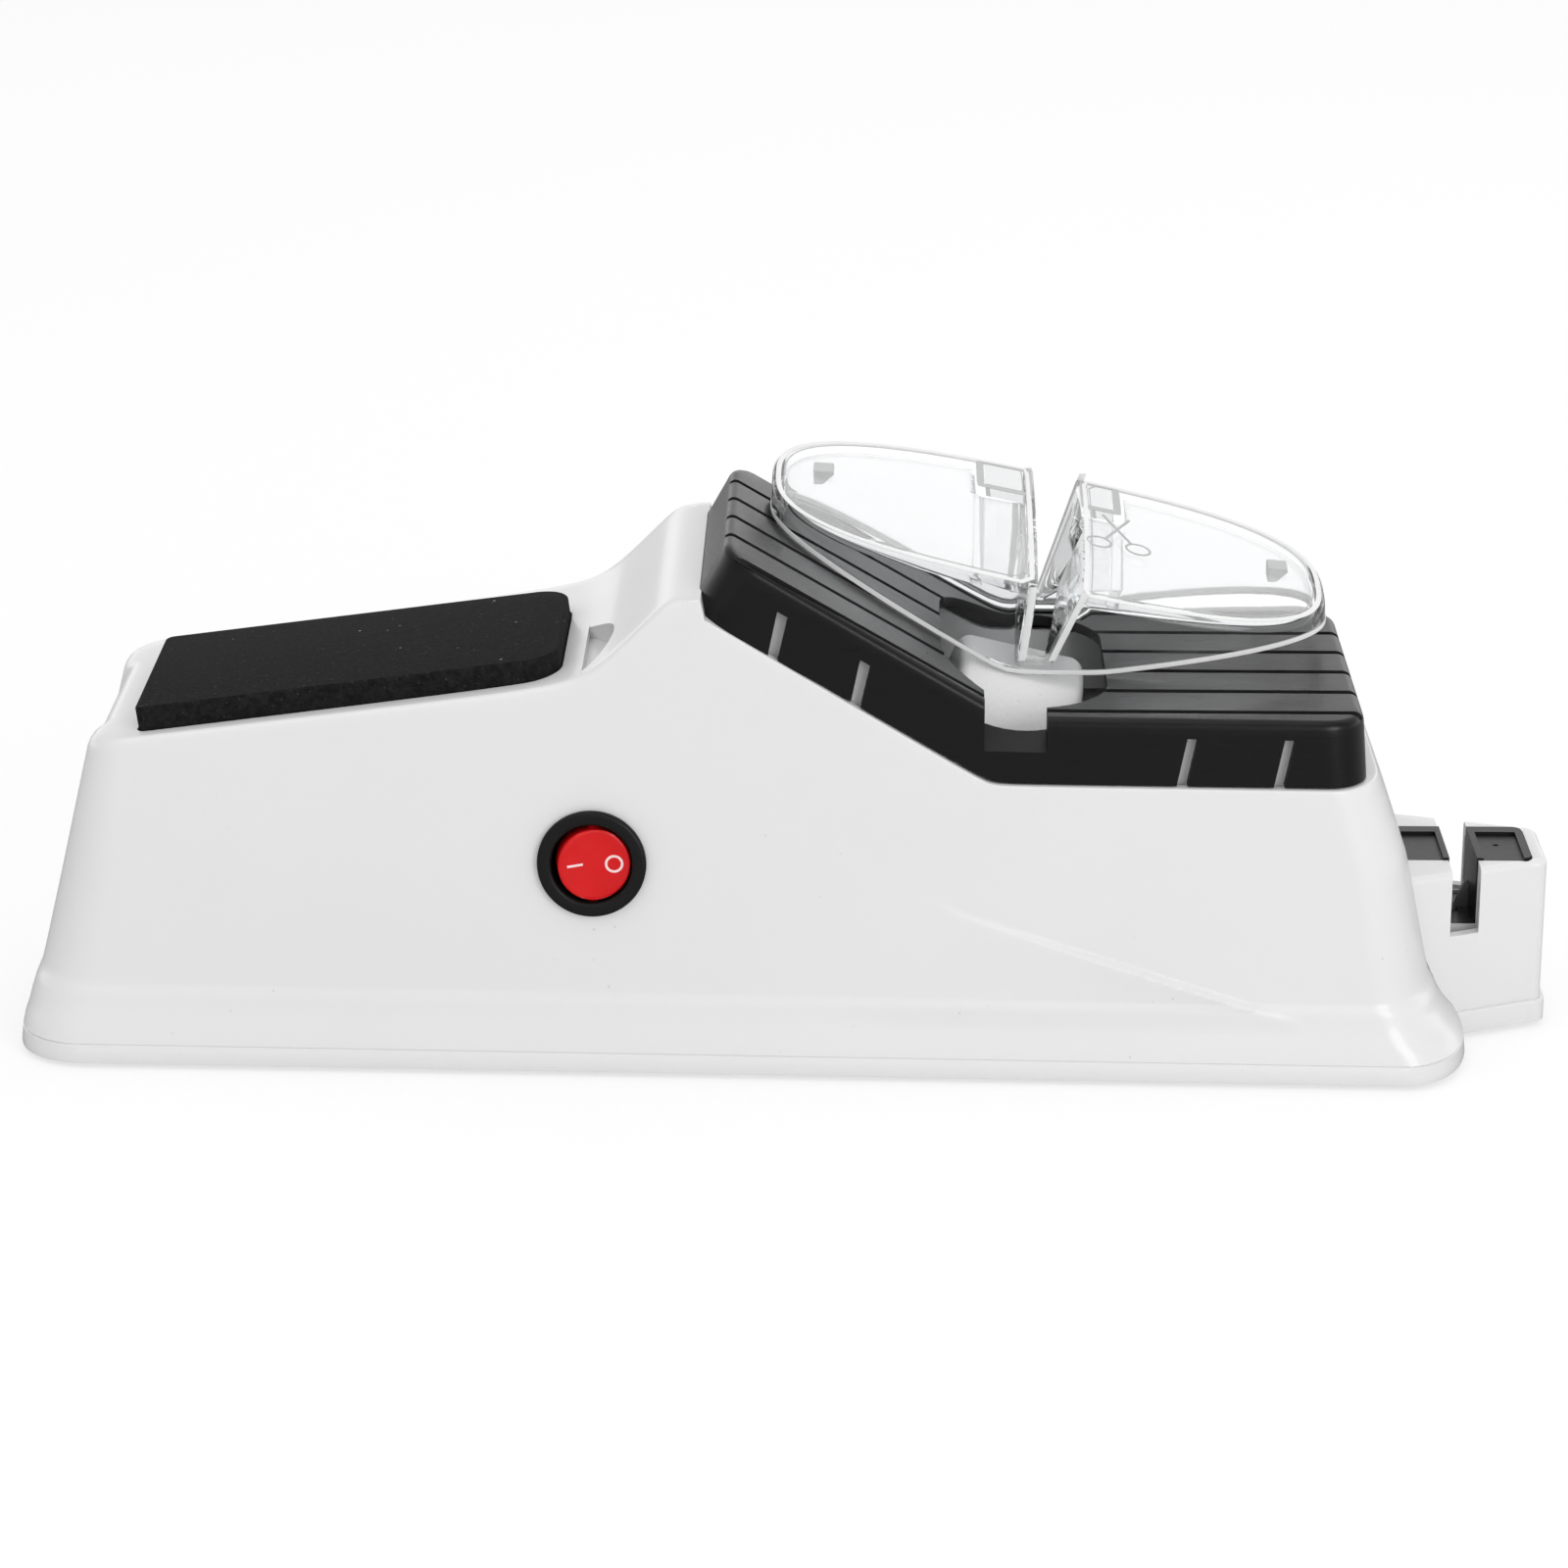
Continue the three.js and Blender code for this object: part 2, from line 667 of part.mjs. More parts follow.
function grooveCutters() {
  const cutters = [];
  const left = capLeft - overrun;
  const right = capRight + overrun;
  for (let i = 0; i < grooveCount; i += 1) {
    const y = (i - (grooveCount - 1) / 2) * groovePitch;
    cutters.push(sideProfile([
      [left, capTop(left) - grooveDepth], [capBend, capTopHeight - grooveDepth],
      [right, capTopHeight - grooveDepth], [right, capTopHeight + overrun],
      [capBend, capTopHeight + overrun], [left, capTop(left) + overrun],
    ], y - grooveWidth / 2, y + grooveWidth / 2));
  }
  return joined(cutters);
}

function ventCutters() {
  const reach = baseHalfDepth * 2;
  return joined(ventPlaces.map((x) => {
    const lean = ventHeight * ventLeanShare;
    const half = ventWidth / 2;
    const low = rimAt(x) - overrun;
    const lowX = x - overrun * ventLeanShare;
    const high = (side) => rimAt(x) + ventHeight + rimAt(x + lean + side * half) - rimAt(x + lean);
    return sideProfile([
      [lowX - half, low], [lowX + half, low], [x + lean + half, high(1)], [x + lean - half, high(-1)],
    ], -reach, reach);
  }));
}

function openingCutter() {
  const radius = openingWidth / 2;
  const straight = openingDepth / 2 - radius;
  const points = [];
  for (let i = 0; i <= roundSteps / 2; i += 1) {
    const angle = (i / (roundSteps / 2)) * Math.PI;
    points.push([openingCentre + radius * Math.cos(angle), straight + radius * Math.sin(angle)]);
  }
  for (let i = 0; i <= roundSteps / 2; i += 1) {
    const angle = Math.PI + (i / (roundSteps / 2)) * Math.PI;
    points.push([openingCentre + radius * Math.cos(angle), -straight + radius * Math.sin(angle)]);
  }
  return planProfile(points, rimHeight - overrun, casingTop);
}

// The notch in the front skirt, whose floor climbs from the front to the opening
function notchCutter() {
  const front = -(baseHalfDepth + overrun);
  const back = -(openingDepth / 2) + notchBoss;
  const x0 = notchCentre - notchWidth / 2;
  const x1 = notchCentre + notchWidth / 2;
  const slope = (notchBackHeight - notchFrontHeight) / (-halfDepthAt(notchCentre, capTopHeight) - -(openingDepth / 2));
  const low = notchBackHeight - slope * (front + openingDepth / 2);
  const backHeight = notchBackHeight - slope * (back + openingDepth / 2);
  const ring = (x) => [
    new THREE.Vector3(x, front, low), new THREE.Vector3(x, back, backHeight),
    new THREE.Vector3(x, back, casingTop), new THREE.Vector3(x, front, casingTop),
  ];
  return loft([ring(x0), ring(x1)]);
}

function ribbedCap() {
  const reach = baseHalfDepth * 2;
  const outer = capLoft(0, rimHeight - overrun, casingTop).intersect(capBand(0, 0, -reach, reach));
  const inner = capLoft(-capWall, rimHeight - overrun * 2, casingTop)
    .intersect(capBand(capTopThickness, -overrun, -reach, reach));
  const lipOuter = capLoft(-(wallThickness - capInset + clearance), rimHeight - capLipHeight - overrun, casingTop)
    .intersect(capBand(capTopThickness / 2, -capLipHeight, -reach, reach));
  const lipInner = capLoft(-(wallThickness - capInset + clearance + capLipThickness),
    rimHeight - capLipHeight - overrun * 2, casingTop);
  const lip = lipOuter.subtract(lipInner);
  const boss = box(notchCentre - notchWidth / 2 - notchBoss, notchCentre + notchWidth / 2 + notchBoss,
    -baseHalfDepth, -openingDepth / 2 + notchBoss, rimHeight + notchBoss, casingTop).intersect(outer);
  let cap = outer.subtract(inner).add(lip).add(boss);
  cap = cap.subtract(grooveCutters()).subtract(ventCutters());
  cap = cap.subtract(openingCutter()).subtract(notchCutter());
  return cap;
}

// Clear cover
const coverMiddleX = (coverLeft + coverRight) / 2;
const coverMiddleY = (coverFront + coverBack) / 2;
const coverRoof = (x, y) => coverRoofHeight - (x - coverRoofPlace) * coverFallShare
  + (y - coverFront) * coverRiseShare;

function coverOutline(offset, z) {
  const points = [];
  const halfX = (coverRight - coverLeft) / 2 + offset;
  const halfY = (coverBack - coverFront) / 2 + offset;
  const bend = (value) => Math.sign(value) * Math.abs(value) ** (2 / coverRoundPower);
  for (let i = 0; i < fineSteps; i += 1) {
    const angle = (i / fineSteps) * Math.PI * 2;
    points.push(new THREE.Vector3(coverMiddleX + halfX * bend(Math.cos(angle)),
      coverMiddleY + halfY * bend(Math.sin(angle)), z));
  }
  return points;
}

// The cover's walls, which draw in a little towards the top
function coverSolid(offset, z0, z1) {
  const rings = [z0, z1].map((z) => coverOutline(offset + (coverRoofHeight - z) * coverDraftShare, z));
  return loft(rings);
}

function aboveRoof(drop) {
  const corners = [
    [coverLeft - overrun, coverFront - overrun], [coverRight + overrun, coverFront - overrun],
    [coverRight + overrun, coverBack + overrun], [coverLeft - overrun, coverBack + overrun],
  ];
  const low = corners.map(([x, y]) => new THREE.Vector3(x, y, coverRoof(x, y) - drop));
  const high = corners.map(([x, y]) => new THREE.Vector3(x, y, casingTop * 2));
  return loft([low, high]);
}

function belowCover(gap) {
  return sideProfile([
    [coverLeft - overrun, capTopHeight - overrun * 2], [coverRight + overrun, capTopHeight - overrun * 2],
    [coverRight + overrun, capTopHeight + gap + (coverRight + overrun - coverBottomBend) * coverBottomShare],
    [coverBottomBend, capTopHeight + gap], [capBend, capTopHeight + gap],
    [coverLeft - overrun, capTop(coverLeft - overrun) + gap],
  ], coverFront - overrun, coverBack + overrun);
}

// The side of the slot at a place along Y and a height: 0 is its left side and 1 its right side
function slotSide(side, y, z) {
  const share = (y - coverFront) / coverDepth;
  const lean = slotFrontShares[side] + (slotBackShares[side] - slotFrontShares[side]) * share;
  return slotFoot + side * slotFootWidth + (z - capTopHeight) * lean;
}

function slotSolid(extra, y0, y1) {
  const low = capTopHeight - overrun;
  const high = casingTop + overrun * 2;
  const rings = [];
  for (let i = 0; i <= slotSteps; i += 1) {
    const y = y0 + ((y1 - y0) * i) / slotSteps;
    const ring = [];
    for (let k = 0; k <= slotSteps; k += 1) {
      const z = low + ((high - low) * k) / slotSteps;
      ring.push(new THREE.Vector3(slotSide(0, y, z) - extra, y, z));
    }
    for (let k = slotSteps; k >= 0; k -= 1) {
      const z = low + ((high - low) * k) / slotSteps;
      ring.push(new THREE.Vector3(slotSide(1, y, z) + extra, y, z));
    }
    rings.push(ring);
  }
  return loft(rings);
}

function wheelSpace(extra) {
  return placed(turned([
    [0, -wheelWidth / 2 - extra], [wheelRadius + extra, -wheelWidth / 2 - extra],
    [wheelRadius + extra, wheelWidth / 2 + extra], [0, wheelWidth / 2 + extra],
  ], fineSteps), driveFrame);
}

// The hollow posts at the back corners of the slot
function windowPlaces() {
  const y1 = coverBack - windowInset;
  const y0 = y1 - windowDepth;
  const z = coverRoof(slotFoot, coverBack);
  const left = slotSide(0, coverBack, z) - slotWall;
  const right = slotSide(1, coverBack, z) + slotWall;
  return [
    { x0: left - windowLengths[0], x1: left, y0, y1 },
    { x0: right, x1: right + windowLengths[1], y0, y1 },
  ];
}

function clearCover() {
  const floor = capTopHeight - overrun;
  const top = casingTop + overrun * 3;
  const outer = coverSolid(0, floor, top).subtract(aboveRoof(0)).subtract(belowCover(clearance));
  const y0 = coverFront - overrun;
  const y1 = coverBack + overrun;
  const hollow = coverSolid(-coverWall, floor, top).subtract(aboveRoof(coverWall))
    .subtract(slotSolid(slotWall, y0, y1));
  let cover = outer.subtract(hollow).subtract(slotSolid(0, y0, y1));
  const bridges = [[coverFront, coverFront + slotBridgeDepth], [coverBack - slotBridgeDepth, coverBack]]
    .map(([b0, b1]) => slotSolid(slotWall, b0, b1));
  const bridgeBand = sideProfile([
    [coverLeft, capTopHeight], [coverRight, capTopHeight],
    [coverRight, capTopHeight + slotBridgeHeight], [coverLeft, capTopHeight + slotBridgeHeight],
  ], y0, y1);
  cover = cover.add(joined(bridges).intersect(bridgeBand).intersect(outer));
  windowPlaces().forEach((place) => {
    const tube = box(place.x0 - windowWall, place.x1 + windowWall, place.y0 - slotWall, place.y1 + slotWall,
      floor, top).intersect(outer).subtract(slotSolid(0, y0, y1));
    cover = cover.add(tube);
    cover = cover.subtract(box(place.x0, place.x1, place.y0, place.y1, floor - overrun, top + overrun)
      .subtract(slotSolid(slotWall, y0, y1)));
  });
  const hookX = [coverLeft + hookInset, coverRight - hookInset - hookThickness];
  hookX.forEach((x) => {
    const z = coverRoof(x, coverMiddleY) - coverWall;
    cover = cover.add(box(x, x + hookThickness, coverMiddleY - hookLength / 2, coverMiddleY + hookLength / 2,
      Math.max(z - hookDrop, capTop(x) + clearance), z + coverWall / 2));
  });
  return cover.subtract(wheelSpace(wheelClearance));
}

// Grinding wheel and its drive, made along the drive axis and then placed
function grindingWheel() {
  const half = wheelWidth / 2;
  const profile = [[wheelBore, -half], [wheelRadius - wheelRound, -half]];
  for (let i = 1; i < cornerSteps; i += 1) {
    const angle = -Math.PI / 2 + (i / cornerSteps) * (Math.PI / 2);
    profile.push([wheelRadius - wheelRound + wheelRound * Math.cos(angle), -half + wheelRound + wheelRound * Math.sin(angle)]);
  }
  profile.push([wheelRadius, -half + wheelRound], [wheelRadius, half - wheelRound]);
  for (let i = 1; i < cornerSteps; i += 1) {
    const angle = (i / cornerSteps) * (Math.PI / 2);
    profile.push([wheelRadius - wheelRound + wheelRound * Math.cos(angle), half - wheelRound + wheelRound * Math.sin(angle)]);
  }
  profile.push([wheelRadius - wheelRound, half], [wheelBore, half], [wheelBore, -half]);
  return placed(turned(profile, fineSteps), driveFrame);
}

function wheelHub() {
  const back = -wheelWidth / 2 - hubLength - clearance;
  const face = -wheelWidth / 2 - clearance;
  const sleeve = wheelBore - clearance;
  const end = wheelWidth / 2;
  const bore = shaftRadius + clearance;
  return placed(turned([
    [bore, back], [sleeve + hubFlange, back], [sleeve + hubFlange, face - hubFlange], [hubRadius, face - hubFlange],
    [hubRadius, face], [sleeve, face], [sleeve, end], [bore, end], [bore, back],
  ]), driveFrame);
}

function wheelWasher() {
  const start = wheelWidth / 2 + clearance;
  const bore = shaftRadius + clearance;
  return placed(turned([
    [bore, start], [washerRadius, start], [washerRadius, start + washerThickness], [bore, start + washerThickness],
    [bore, start],
  ]), driveFrame);
}

const nutStart = wheelWidth / 2 + washerThickness + clearance * 2;

// A six-sided nut with a round bore, from z0 to z1
function nut(radius, bore, z0, z1) {
  return post(0, 0, z0, z1, radius, 6).subtract(post(0, 0, z0 - overrun, z1 + overrun, bore));
}

function wheelNut() {
  return placed(nut(nutRadius, shaftRadius + clearance, nutStart, nutStart + nutHeight), driveFrame);
}

const motorBack = motorFace - motorLength;

function motorShaft() {
  const start = motorFace + clearance;
  const end = nutStart + nutHeight + hubFlange / 2;
  return placed(post(0, 0, start - motorBossLength, end, shaftRadius), driveFrame);
}

function motorCan() {
  const bossEnd = motorFace + motorBossLength;
  const bore = shaftRadius + clearance;
  const depth = motorFace - motorBossLength;
  const can = turned([
    [0, motorBack], [motorRadius, motorBack], [motorRadius, motorFace], [motorBossRadius, motorFace],
    [motorBossRadius, bossEnd], [bore, bossEnd], [bore, depth], [0, depth],
  ]);
  const holes = [-1, 1].map((side) => (
    post(0, side * motorScrewSpread, motorFace - screwLength / 2, motorFace + overrun, motorScrewRadius + clearance)));
  return placed(can.subtract(joined(holes)), driveFrame);
}

function motorEndCap() {
  const start = motorBack - clearance;
  const cup = turned([
    [0, start - motorEndLength], [motorRadius - clearance, start - motorEndLength], [motorRadius - clearance, start],
    [0, start],
  ]);
  const tabs = [-1, 1].map((side) => box(
    -terminalWidth / 2, terminalWidth / 2,
    side * terminalSpread - terminalThickness / 2, side * terminalSpread + terminalThickness / 2,
    start - motorEndLength - terminalLength, start - motorEndLength + clearance));
  return placed(cup.add(joined(tabs)), driveFrame);
}

const bracketFront = motorFace + clearance + bracketThickness;

// The plate stands square to the drive axis and its foot lies on two stands of the base plate
function motorBracket() {
  const drop = (wheelCentreZ - boardHeight) * 2;
  const upright = placed(box(-bracketTop, drop, -bracketHalfWidth, bracketHalfWidth,
    motorFace + clearance, bracketFront), driveFrame);
  const floor = boardHeight + clearance;
  const reach = wheelCentreX + motorFace;
  const cutBelow = box(reach - overrun * 20, reach + overrun * 20, -bracketHalfWidth - overrun,
    bracketHalfWidth + overrun, floor - overrun * 20, floor);
  const foot = box(bracketPlace - bracketFootLength, bracketPlace + bracketThickness,
    -bracketHalfWidth, bracketHalfWidth, floor, floor + bracketThickness);
  const bore = placed(post(0, 0, motorFace - overrun, bracketFront + overrun, motorBossRadius + clearance), driveFrame);
  const screwHoles = [-1, 1].map((side) => placed(post(0, side * motorScrewSpread, motorFace - overrun,
    bracketFront + overrun, motorScrewRadius + clearance), driveFrame));
  const footHoles = bracketPlaces.map(([x, y]) => (
    post(x, y, floor - overrun, floor + overrun, screwRadius + clearance, screwSteps)));
  return upright.subtract(cutBelow).add(foot).subtract(joined([bore, ...screwHoles, ...footHoles]));
}

function motorScrews() {
  const head = bracketFront + clearance;
  const start = motorFace - screwLength / 2 + clearance;
  return [-1, 1].map((side) => placed(
    post(0, side * motorScrewSpread, head, head + screwHeadHeight, motorScrewHead, screwSteps)
      .add(post(0, side * motorScrewSpread, start, head + clearance, motorScrewRadius, screwSteps)),
    driveFrame));
}

function bracketScrews() {
  const seat = boardHeight + bracketThickness + clearance * 2;
  return bracketPlaces.map(([x, y]) => screwDown(x, y, seat, screwLength));
}

// Half drum below the wheel with cheeks, open at the top
function wheelGuard() {
  const innerRadius = guardRadius - guardThickness;
  const halfOuter = guardHalfWidth;
  const halfInner = halfOuter - guardThickness;
  const drum = (radius, half) => placed(post(0, 0, -half, half, radius, fineSteps), driveFrame);
  let guard = drum(guardRadius, halfOuter).subtract(drum(innerRadius, halfInner));
  guard = guard.subtract(drum(hubRadius + guardGap, halfOuter + overrun));
  const cut = wheelCentreZ - hubRadius;
  guard = guard.subtract(box(wheelCentreX - guardRadius * 2, wheelCentreX + guardRadius * 2,
    -guardRadius - overrun, guardRadius + overrun, cut, cut + guardRadius * 2));
  const floor = guardPlaces.map(([x, y]) => post(x, y, guardFoot, guardFoot + guardRadius / 4, standRadius));
  return guard.add(joined(floor).subtract(drum(innerRadius, halfInner)));
}

// Round rocker switch
function switchBezel() {
  const rim = bezelRise - lipEase / 2;
  const floor = -switchFloor;
  const back = -switchBodyLength;
  const body = turned([
    [0, back], [switchBodyRadius, back], [switchBodyRadius, clearance], [bezelRadius, clearance],
    [bezelRadius, rim], [bezelRadius - lipEase / 2, bezelRise], [bezelOpening, bezelRise],
    [bezelOpening, floor], [0, floor],
  ], fineSteps);
  const pivot = bezelRise - rockerPivotDepth;
  const sockets = [-1, 1].map((side) => {
    const y0 = side * (rockerRadius - clearance);
    const y1 = side * (bezelOpening + rockerPinLength + clearance);
    return box(-rockerPinRadius - clearance, rockerPinRadius + clearance, Math.min(y0, y1), Math.max(y0, y1),
      pivot - rockerPinRadius - clearance, pivot + rockerPinRadius + clearance);
  });
  const slots = [-1, 1].map((k) => box(
    k * bladeSpread - bladeThickness / 2 - clearance, k * bladeSpread + bladeThickness / 2 + clearance,
    -bladeWidth / 2 - clearance, bladeWidth / 2 + clearance, back - overrun, floor + overrun));
  return placed(body.subtract(joined([...sockets, ...slots])), switchFrame);
}

function switchTerminals() {
  const top = -switchFloor + clearance;
  return [-1, 1].map((k) => placed(box(
    k * bladeSpread - bladeThickness / 2, k * bladeSpread + bladeThickness / 2, -bladeWidth / 2, bladeWidth / 2,
    -switchBodyLength - bladeLength, top), switchFrame));
}

// The rocker at rest is pressed in on its off side, which is the right one
const rockerPivot = bezelRise - rockerPivotDepth;

function switchRocker() {
  const top = rockerPivotDepth + rockerRise - bezelRise;
  const bottom = top - rockerHeight;
  const ease = lipEase / 2;
  const puck = turned([
    [0, bottom], [rockerRadius - lipEase * 2, bottom], [rockerRadius, bottom + lipEase * 2],
    [rockerRadius, top - ease], [rockerRadius - ease, top], [0, top],
  ], fineSteps);
  const pins = [-1, 1].map((side) => {
    const geometry = new THREE.CylinderGeometry(rockerPinRadius, rockerPinRadius,
      bezelOpening - rockerRadius + rockerPinLength + lipEase, roundSteps);
    const middle = (bezelOpening + rockerPinLength + rockerRadius - lipEase) / 2;
    return toSolid(moved(geometry, 0, side * middle, 0));
  });
  const tilted = new THREE.Matrix4().makeTranslation(0, 0, rockerPivot)
    .multiply(new THREE.Matrix4().makeRotationY(rockerTilt));
  return placed(placed(puck.add(joined(pins)), tilted), switchFrame);
}

// Spring under the rocker: one round wire that climbs in even turns
class SpringLine extends THREE.Curve {
  constructor(z0, z1) {
    super();
    this.z0 = z0;
    this.z1 = z1;
  }

  getPoint(share, target = new THREE.Vector3()) {
    const angle = share * springTurns * Math.PI * 2;
    return target.set(springRadius * Math.cos(angle), springRadius * Math.sin(angle),
      this.z0 + (this.z1 - this.z0) * share);
  }
}

function switchSpring() {
  const top = rockerPivot + rockerPivotDepth + rockerRise - bezelRise - rockerHeight - clearance * 2;
  const line = new SpringLine(-switchFloor + springWire + clearance, top - springWire);
  const section = new THREE.Shape();
  section.absarc(0, 0, springWire, 0, Math.PI * 2, false);
  const geometry = new THREE.ExtrudeGeometry(section, {
    steps: springSteps, bevelEnabled: false, extrudePath: line, curveSegments: leadSides / 2,
  });
  return placed(toSolid(geometry), switchFrame);
}

// Power jack and its nut
function powerJack() {
  const inside = -jackLength;
  const body = turned([
    [0, inside], [jackRadius, inside], [jackRadius, clearance], [jackFlangeRadius, clearance],
    [jackFlangeRadius, jackFlangeHeight], [jackBore, jackFlangeHeight], [jackBore, jackFlangeHeight - jackBoreDepth],
    [jackPinRadius, jackFlangeHeight - jackBoreDepth], [jackPinRadius, 0], [0, 0],
  ]);
  return placed(body, jackFrame);
}

function jackNut() {
  const top = -wallThickness - clearance;
  return placed(nut(jackNutRadius, jackRadius + clearance, top - jackNutHeight, top), jackFrame);
}

// Circuit board with its two tall parts
const boardTop = boardHeight + clearance + boardThickness;

function circuitBoard() {
  const plate = box(boardX - boardLength / 2, boardX + boardLength / 2, boardY - boardWidth / 2,
    boardY + boardWidth / 2, boardHeight + clearance, boardTop);
  return plate.subtract(joined(boardPlaces.map(([x, y]) => (
    post(x, y, boardHeight - overrun, boardTop + overrun, screwRadius + clearance, screwSteps)))));
}

function boardFuse() {
  const geometry = new THREE.CylinderGeometry(fuseRadius, fuseRadius, fuseLength, roundSteps);
  geometry.rotateZ(Math.PI / 2);
  return toSolid(moved(geometry, boardX + boardHoleInset, boardY - boardWidth / 4, boardTop + clearance + fuseRadius));
}

function boardCapacitor() {
  const x = boardX + capacitorRadius * 2;
  const y = boardY + boardWidth / 4;
  return post(x, y, boardTop + clearance, boardTop + clearance + capacitorHeight, capacitorRadius);
}

function boardScrews() {
  return boardPlaces.map(([x, y]) => screwDown(x, y, boardTop + clearance, screwLength));
}

// Inner leads: round tubes along a smooth line
function lead(points) {
  const curve = new THREE.CatmullRomCurve3(points, false, 'centripetal');
  const section = new THREE.Shape();
  section.absarc(0, 0, leadRadius, 0, Math.PI * 2, false);
  const geometry = new THREE.ExtrudeGeometry(section, {
    steps: leadSteps, bevelEnabled: false, extrudePath: curve, curveSegments: leadSides / 2,
  });
  return toSolid(geometry);
}

const local = (frame, x, y, z) => new THREE.Vector3(x, y, z).applyMatrix4(frame);
const leadSeat = leadRadius + clearance;

function jackLeads() {
  const back = -jackLength - leadSeat;
  return [-1, 1].map((side) => {
    const start = local(jackFrame, side * leadRadius * 2, 0, back + leadRadius);
    const knee = local(jackFrame, side * leadRadius * 2, 0, back - leadRadius * 2);
    const end = local(jackFrame, side * leadRadius * 2, 0, back - leadSeat * 2.5).setZ(boardTop + clearance);
    const above = end.clone().setZ(end.z + leadRadius * 4);
    return lead([start, knee, above, end]);
  });
}

function switchLeads() {
  const back = -switchBodyLength - bladeLength - leadSeat;
  return [-1, 1].map((side) => {
    const start = local(switchFrame, side * bladeSpread, 0, back + leadRadius);
    const knee = local(switchFrame, side * bladeSpread, 0, back - leadRadius * 3);
    const x = boardX + boardLength / 2 - leadSeat;
    const y = boardY + side * leadRadius * 3;
    const above = new THREE.Vector3(x, y, boardTop + overrun * 2);
    return lead([start, knee, above, new THREE.Vector3(x, y, boardTop + clearance)]);
  });
}

function motorLeads() {
  const start = motorBack - clearance - motorEndLength - terminalLength;
  return [-1, 1].map((side) => {
    const from = local(driveFrame, 0, side * terminalSpread, start - clearance);
    const knee = local(driveFrame, 0, side * terminalSpread, start - leadRadius * 5);
    const x = boardX + boardLength / 2 - leadSeat * 4;
    const y = boardY + side * leadSeat * 4;
    const above = new THREE.Vector3(x, y, boardTop + overrun * 4);
    return lead([from, knee, above, new THREE.Vector3(x, y, boardTop + clearance)]);
  });
}

// Stone and its pad
function sharpeningStone() {
  return placed(slab(stoneLength, stoneWidth, stoneCorner, stoneRightCorner, -stoneSink, stoneRise), stoneFrame);
}

function stonePad() {
  const inset = stonePadThickness * 2;
  return placed(slab(stoneLength - inset, stoneWidth - inset, stoneCorner, stoneRightCorner,
    -stoneSink - clearance - stonePadThickness, -stoneSink - clearance), stoneFrame);
}

// Frames of the two screws that hold the block, on the inner face of the right wall
const rightWallX = rightFaceFoot + ((faceFootHeight - housingScrewHeight) / (faceFootHeight - flangeHeight))
  * flareRight * flareRightShares[1];
const housingScrewFrames = [-1, 1].map((side) => new THREE.Matrix4()
  .makeTranslation(rightWallX - wallThickness * 1.05, side * housingScrewSpread, housingScrewHeight)
  .multiply(new THREE.Matrix4().makeRotationY(Math.PI / 2)));

function housingScrews() {
  return housingScrewFrames.map((frame) => placed(screwUp(0, 0, -clearance * 3, housingScrewLength), frame));
}

// Block for sharpening by hand
function blockOutline(offset) {
  const near = blockNearPlace - overrun * 2;
  const run = blockRight - blockNearPlace;
  const frontSlope = (blockNearFront - blockFarHalf) / run;
  const backSlope = (blockNearBack - blockFarHalf) / run;
  const points = [[near, -blockNearFront - frontSlope * overrun * 2 - offset]];
  const radius = blockCorner + offset;
  [-1, 1].forEach((side) => {
    for (let i = 0; i <= cornerSteps; i += 1) {
      const turn = i / cornerSteps;
      const angle = side < 0 ? -Math.PI / 2 + turn * (Math.PI / 2) : turn * (Math.PI / 2);
      points.push([blockRight - blockCorner + radius * Math.cos(angle),
        side * (blockFarHalf - blockCorner) + radius * Math.sin(angle)]);
    }
  });
  points.push([near, blockNearBack + backSlope * overrun * 2 + offset]);
  return points;
}

function gateCutter(width, foot, y0, y1) {
  return box(gateCentre - width / 2, gateCentre + width / 2, y0, y1, foot, blockHeight + overrun);
}

function pullThroughHousing() {
  const body = planProfile(blockOutline(0), 0, blockHeight).add(planProfile(blockOutline(blockLip), 0, blockLipHeight));
  const hollow = planProfile(blockOutline(-blockWall), -overrun, blockHeight - blockWall);
  const reach = blockNearFront + overrun * 2;
  let housing = body.subtract(hollow);
  const gate = gateCutter(gateWidth + blockWall * 2, gateFootHeight - blockWall, -reach, reach)
    .intersect(planProfile(blockOutline(0), 0, blockHeight));
  housing = housing.add(gate).subtract(gateCutter(gateWidth, gateFootHeight, -reach, reach));
  housing = housing.subtract(box(insertStart - clearance, insertEnd + clearance, insertFront - clearance,
    insertBack + clearance, insertFoot - clearance, blockHeight + overrun));
  const bosses = housingScrewFrames.map((frame) => placed(
    post(0, 0, 0, housingScrewLength + clearance, housingBossRadius, screwSteps), frame));
  housing = housing.add(joined(bosses).intersect(body));
  housing = housing.subtract(joined(housingScrewFrames.map((frame) => placed(
    post(0, 0, -overrun, housingScrewLength + clearance, postHoleRadius, screwSteps), frame))));
  return housing.subtract(casingLoft(clearance, true));
}

function bladeSolid(side, extra) {
  const y0 = side * (edgeBladeGap / 2 + edgeBladeThickness / 2);
  const half = edgeBladeThickness / 2 + extra;
  const geometry = new THREE.BoxGeometry(edgeBladeWidth + extra * 2, half * 2, edgeBladeLength + extra * 2);
  geometry.rotateY(side * edgeBladeTilt);
  const z = insertGateFoot - edgeBladeDrop + edgeBladeLength / 2;
  const shift = side * (edgeBladeWidth / 2);
  return toSolid(moved(geometry, gateCentre + shift, y0, z));
}

function insertBlades() {
  return [-1, 1].map((side) => bladeSolid(side, 0));
}

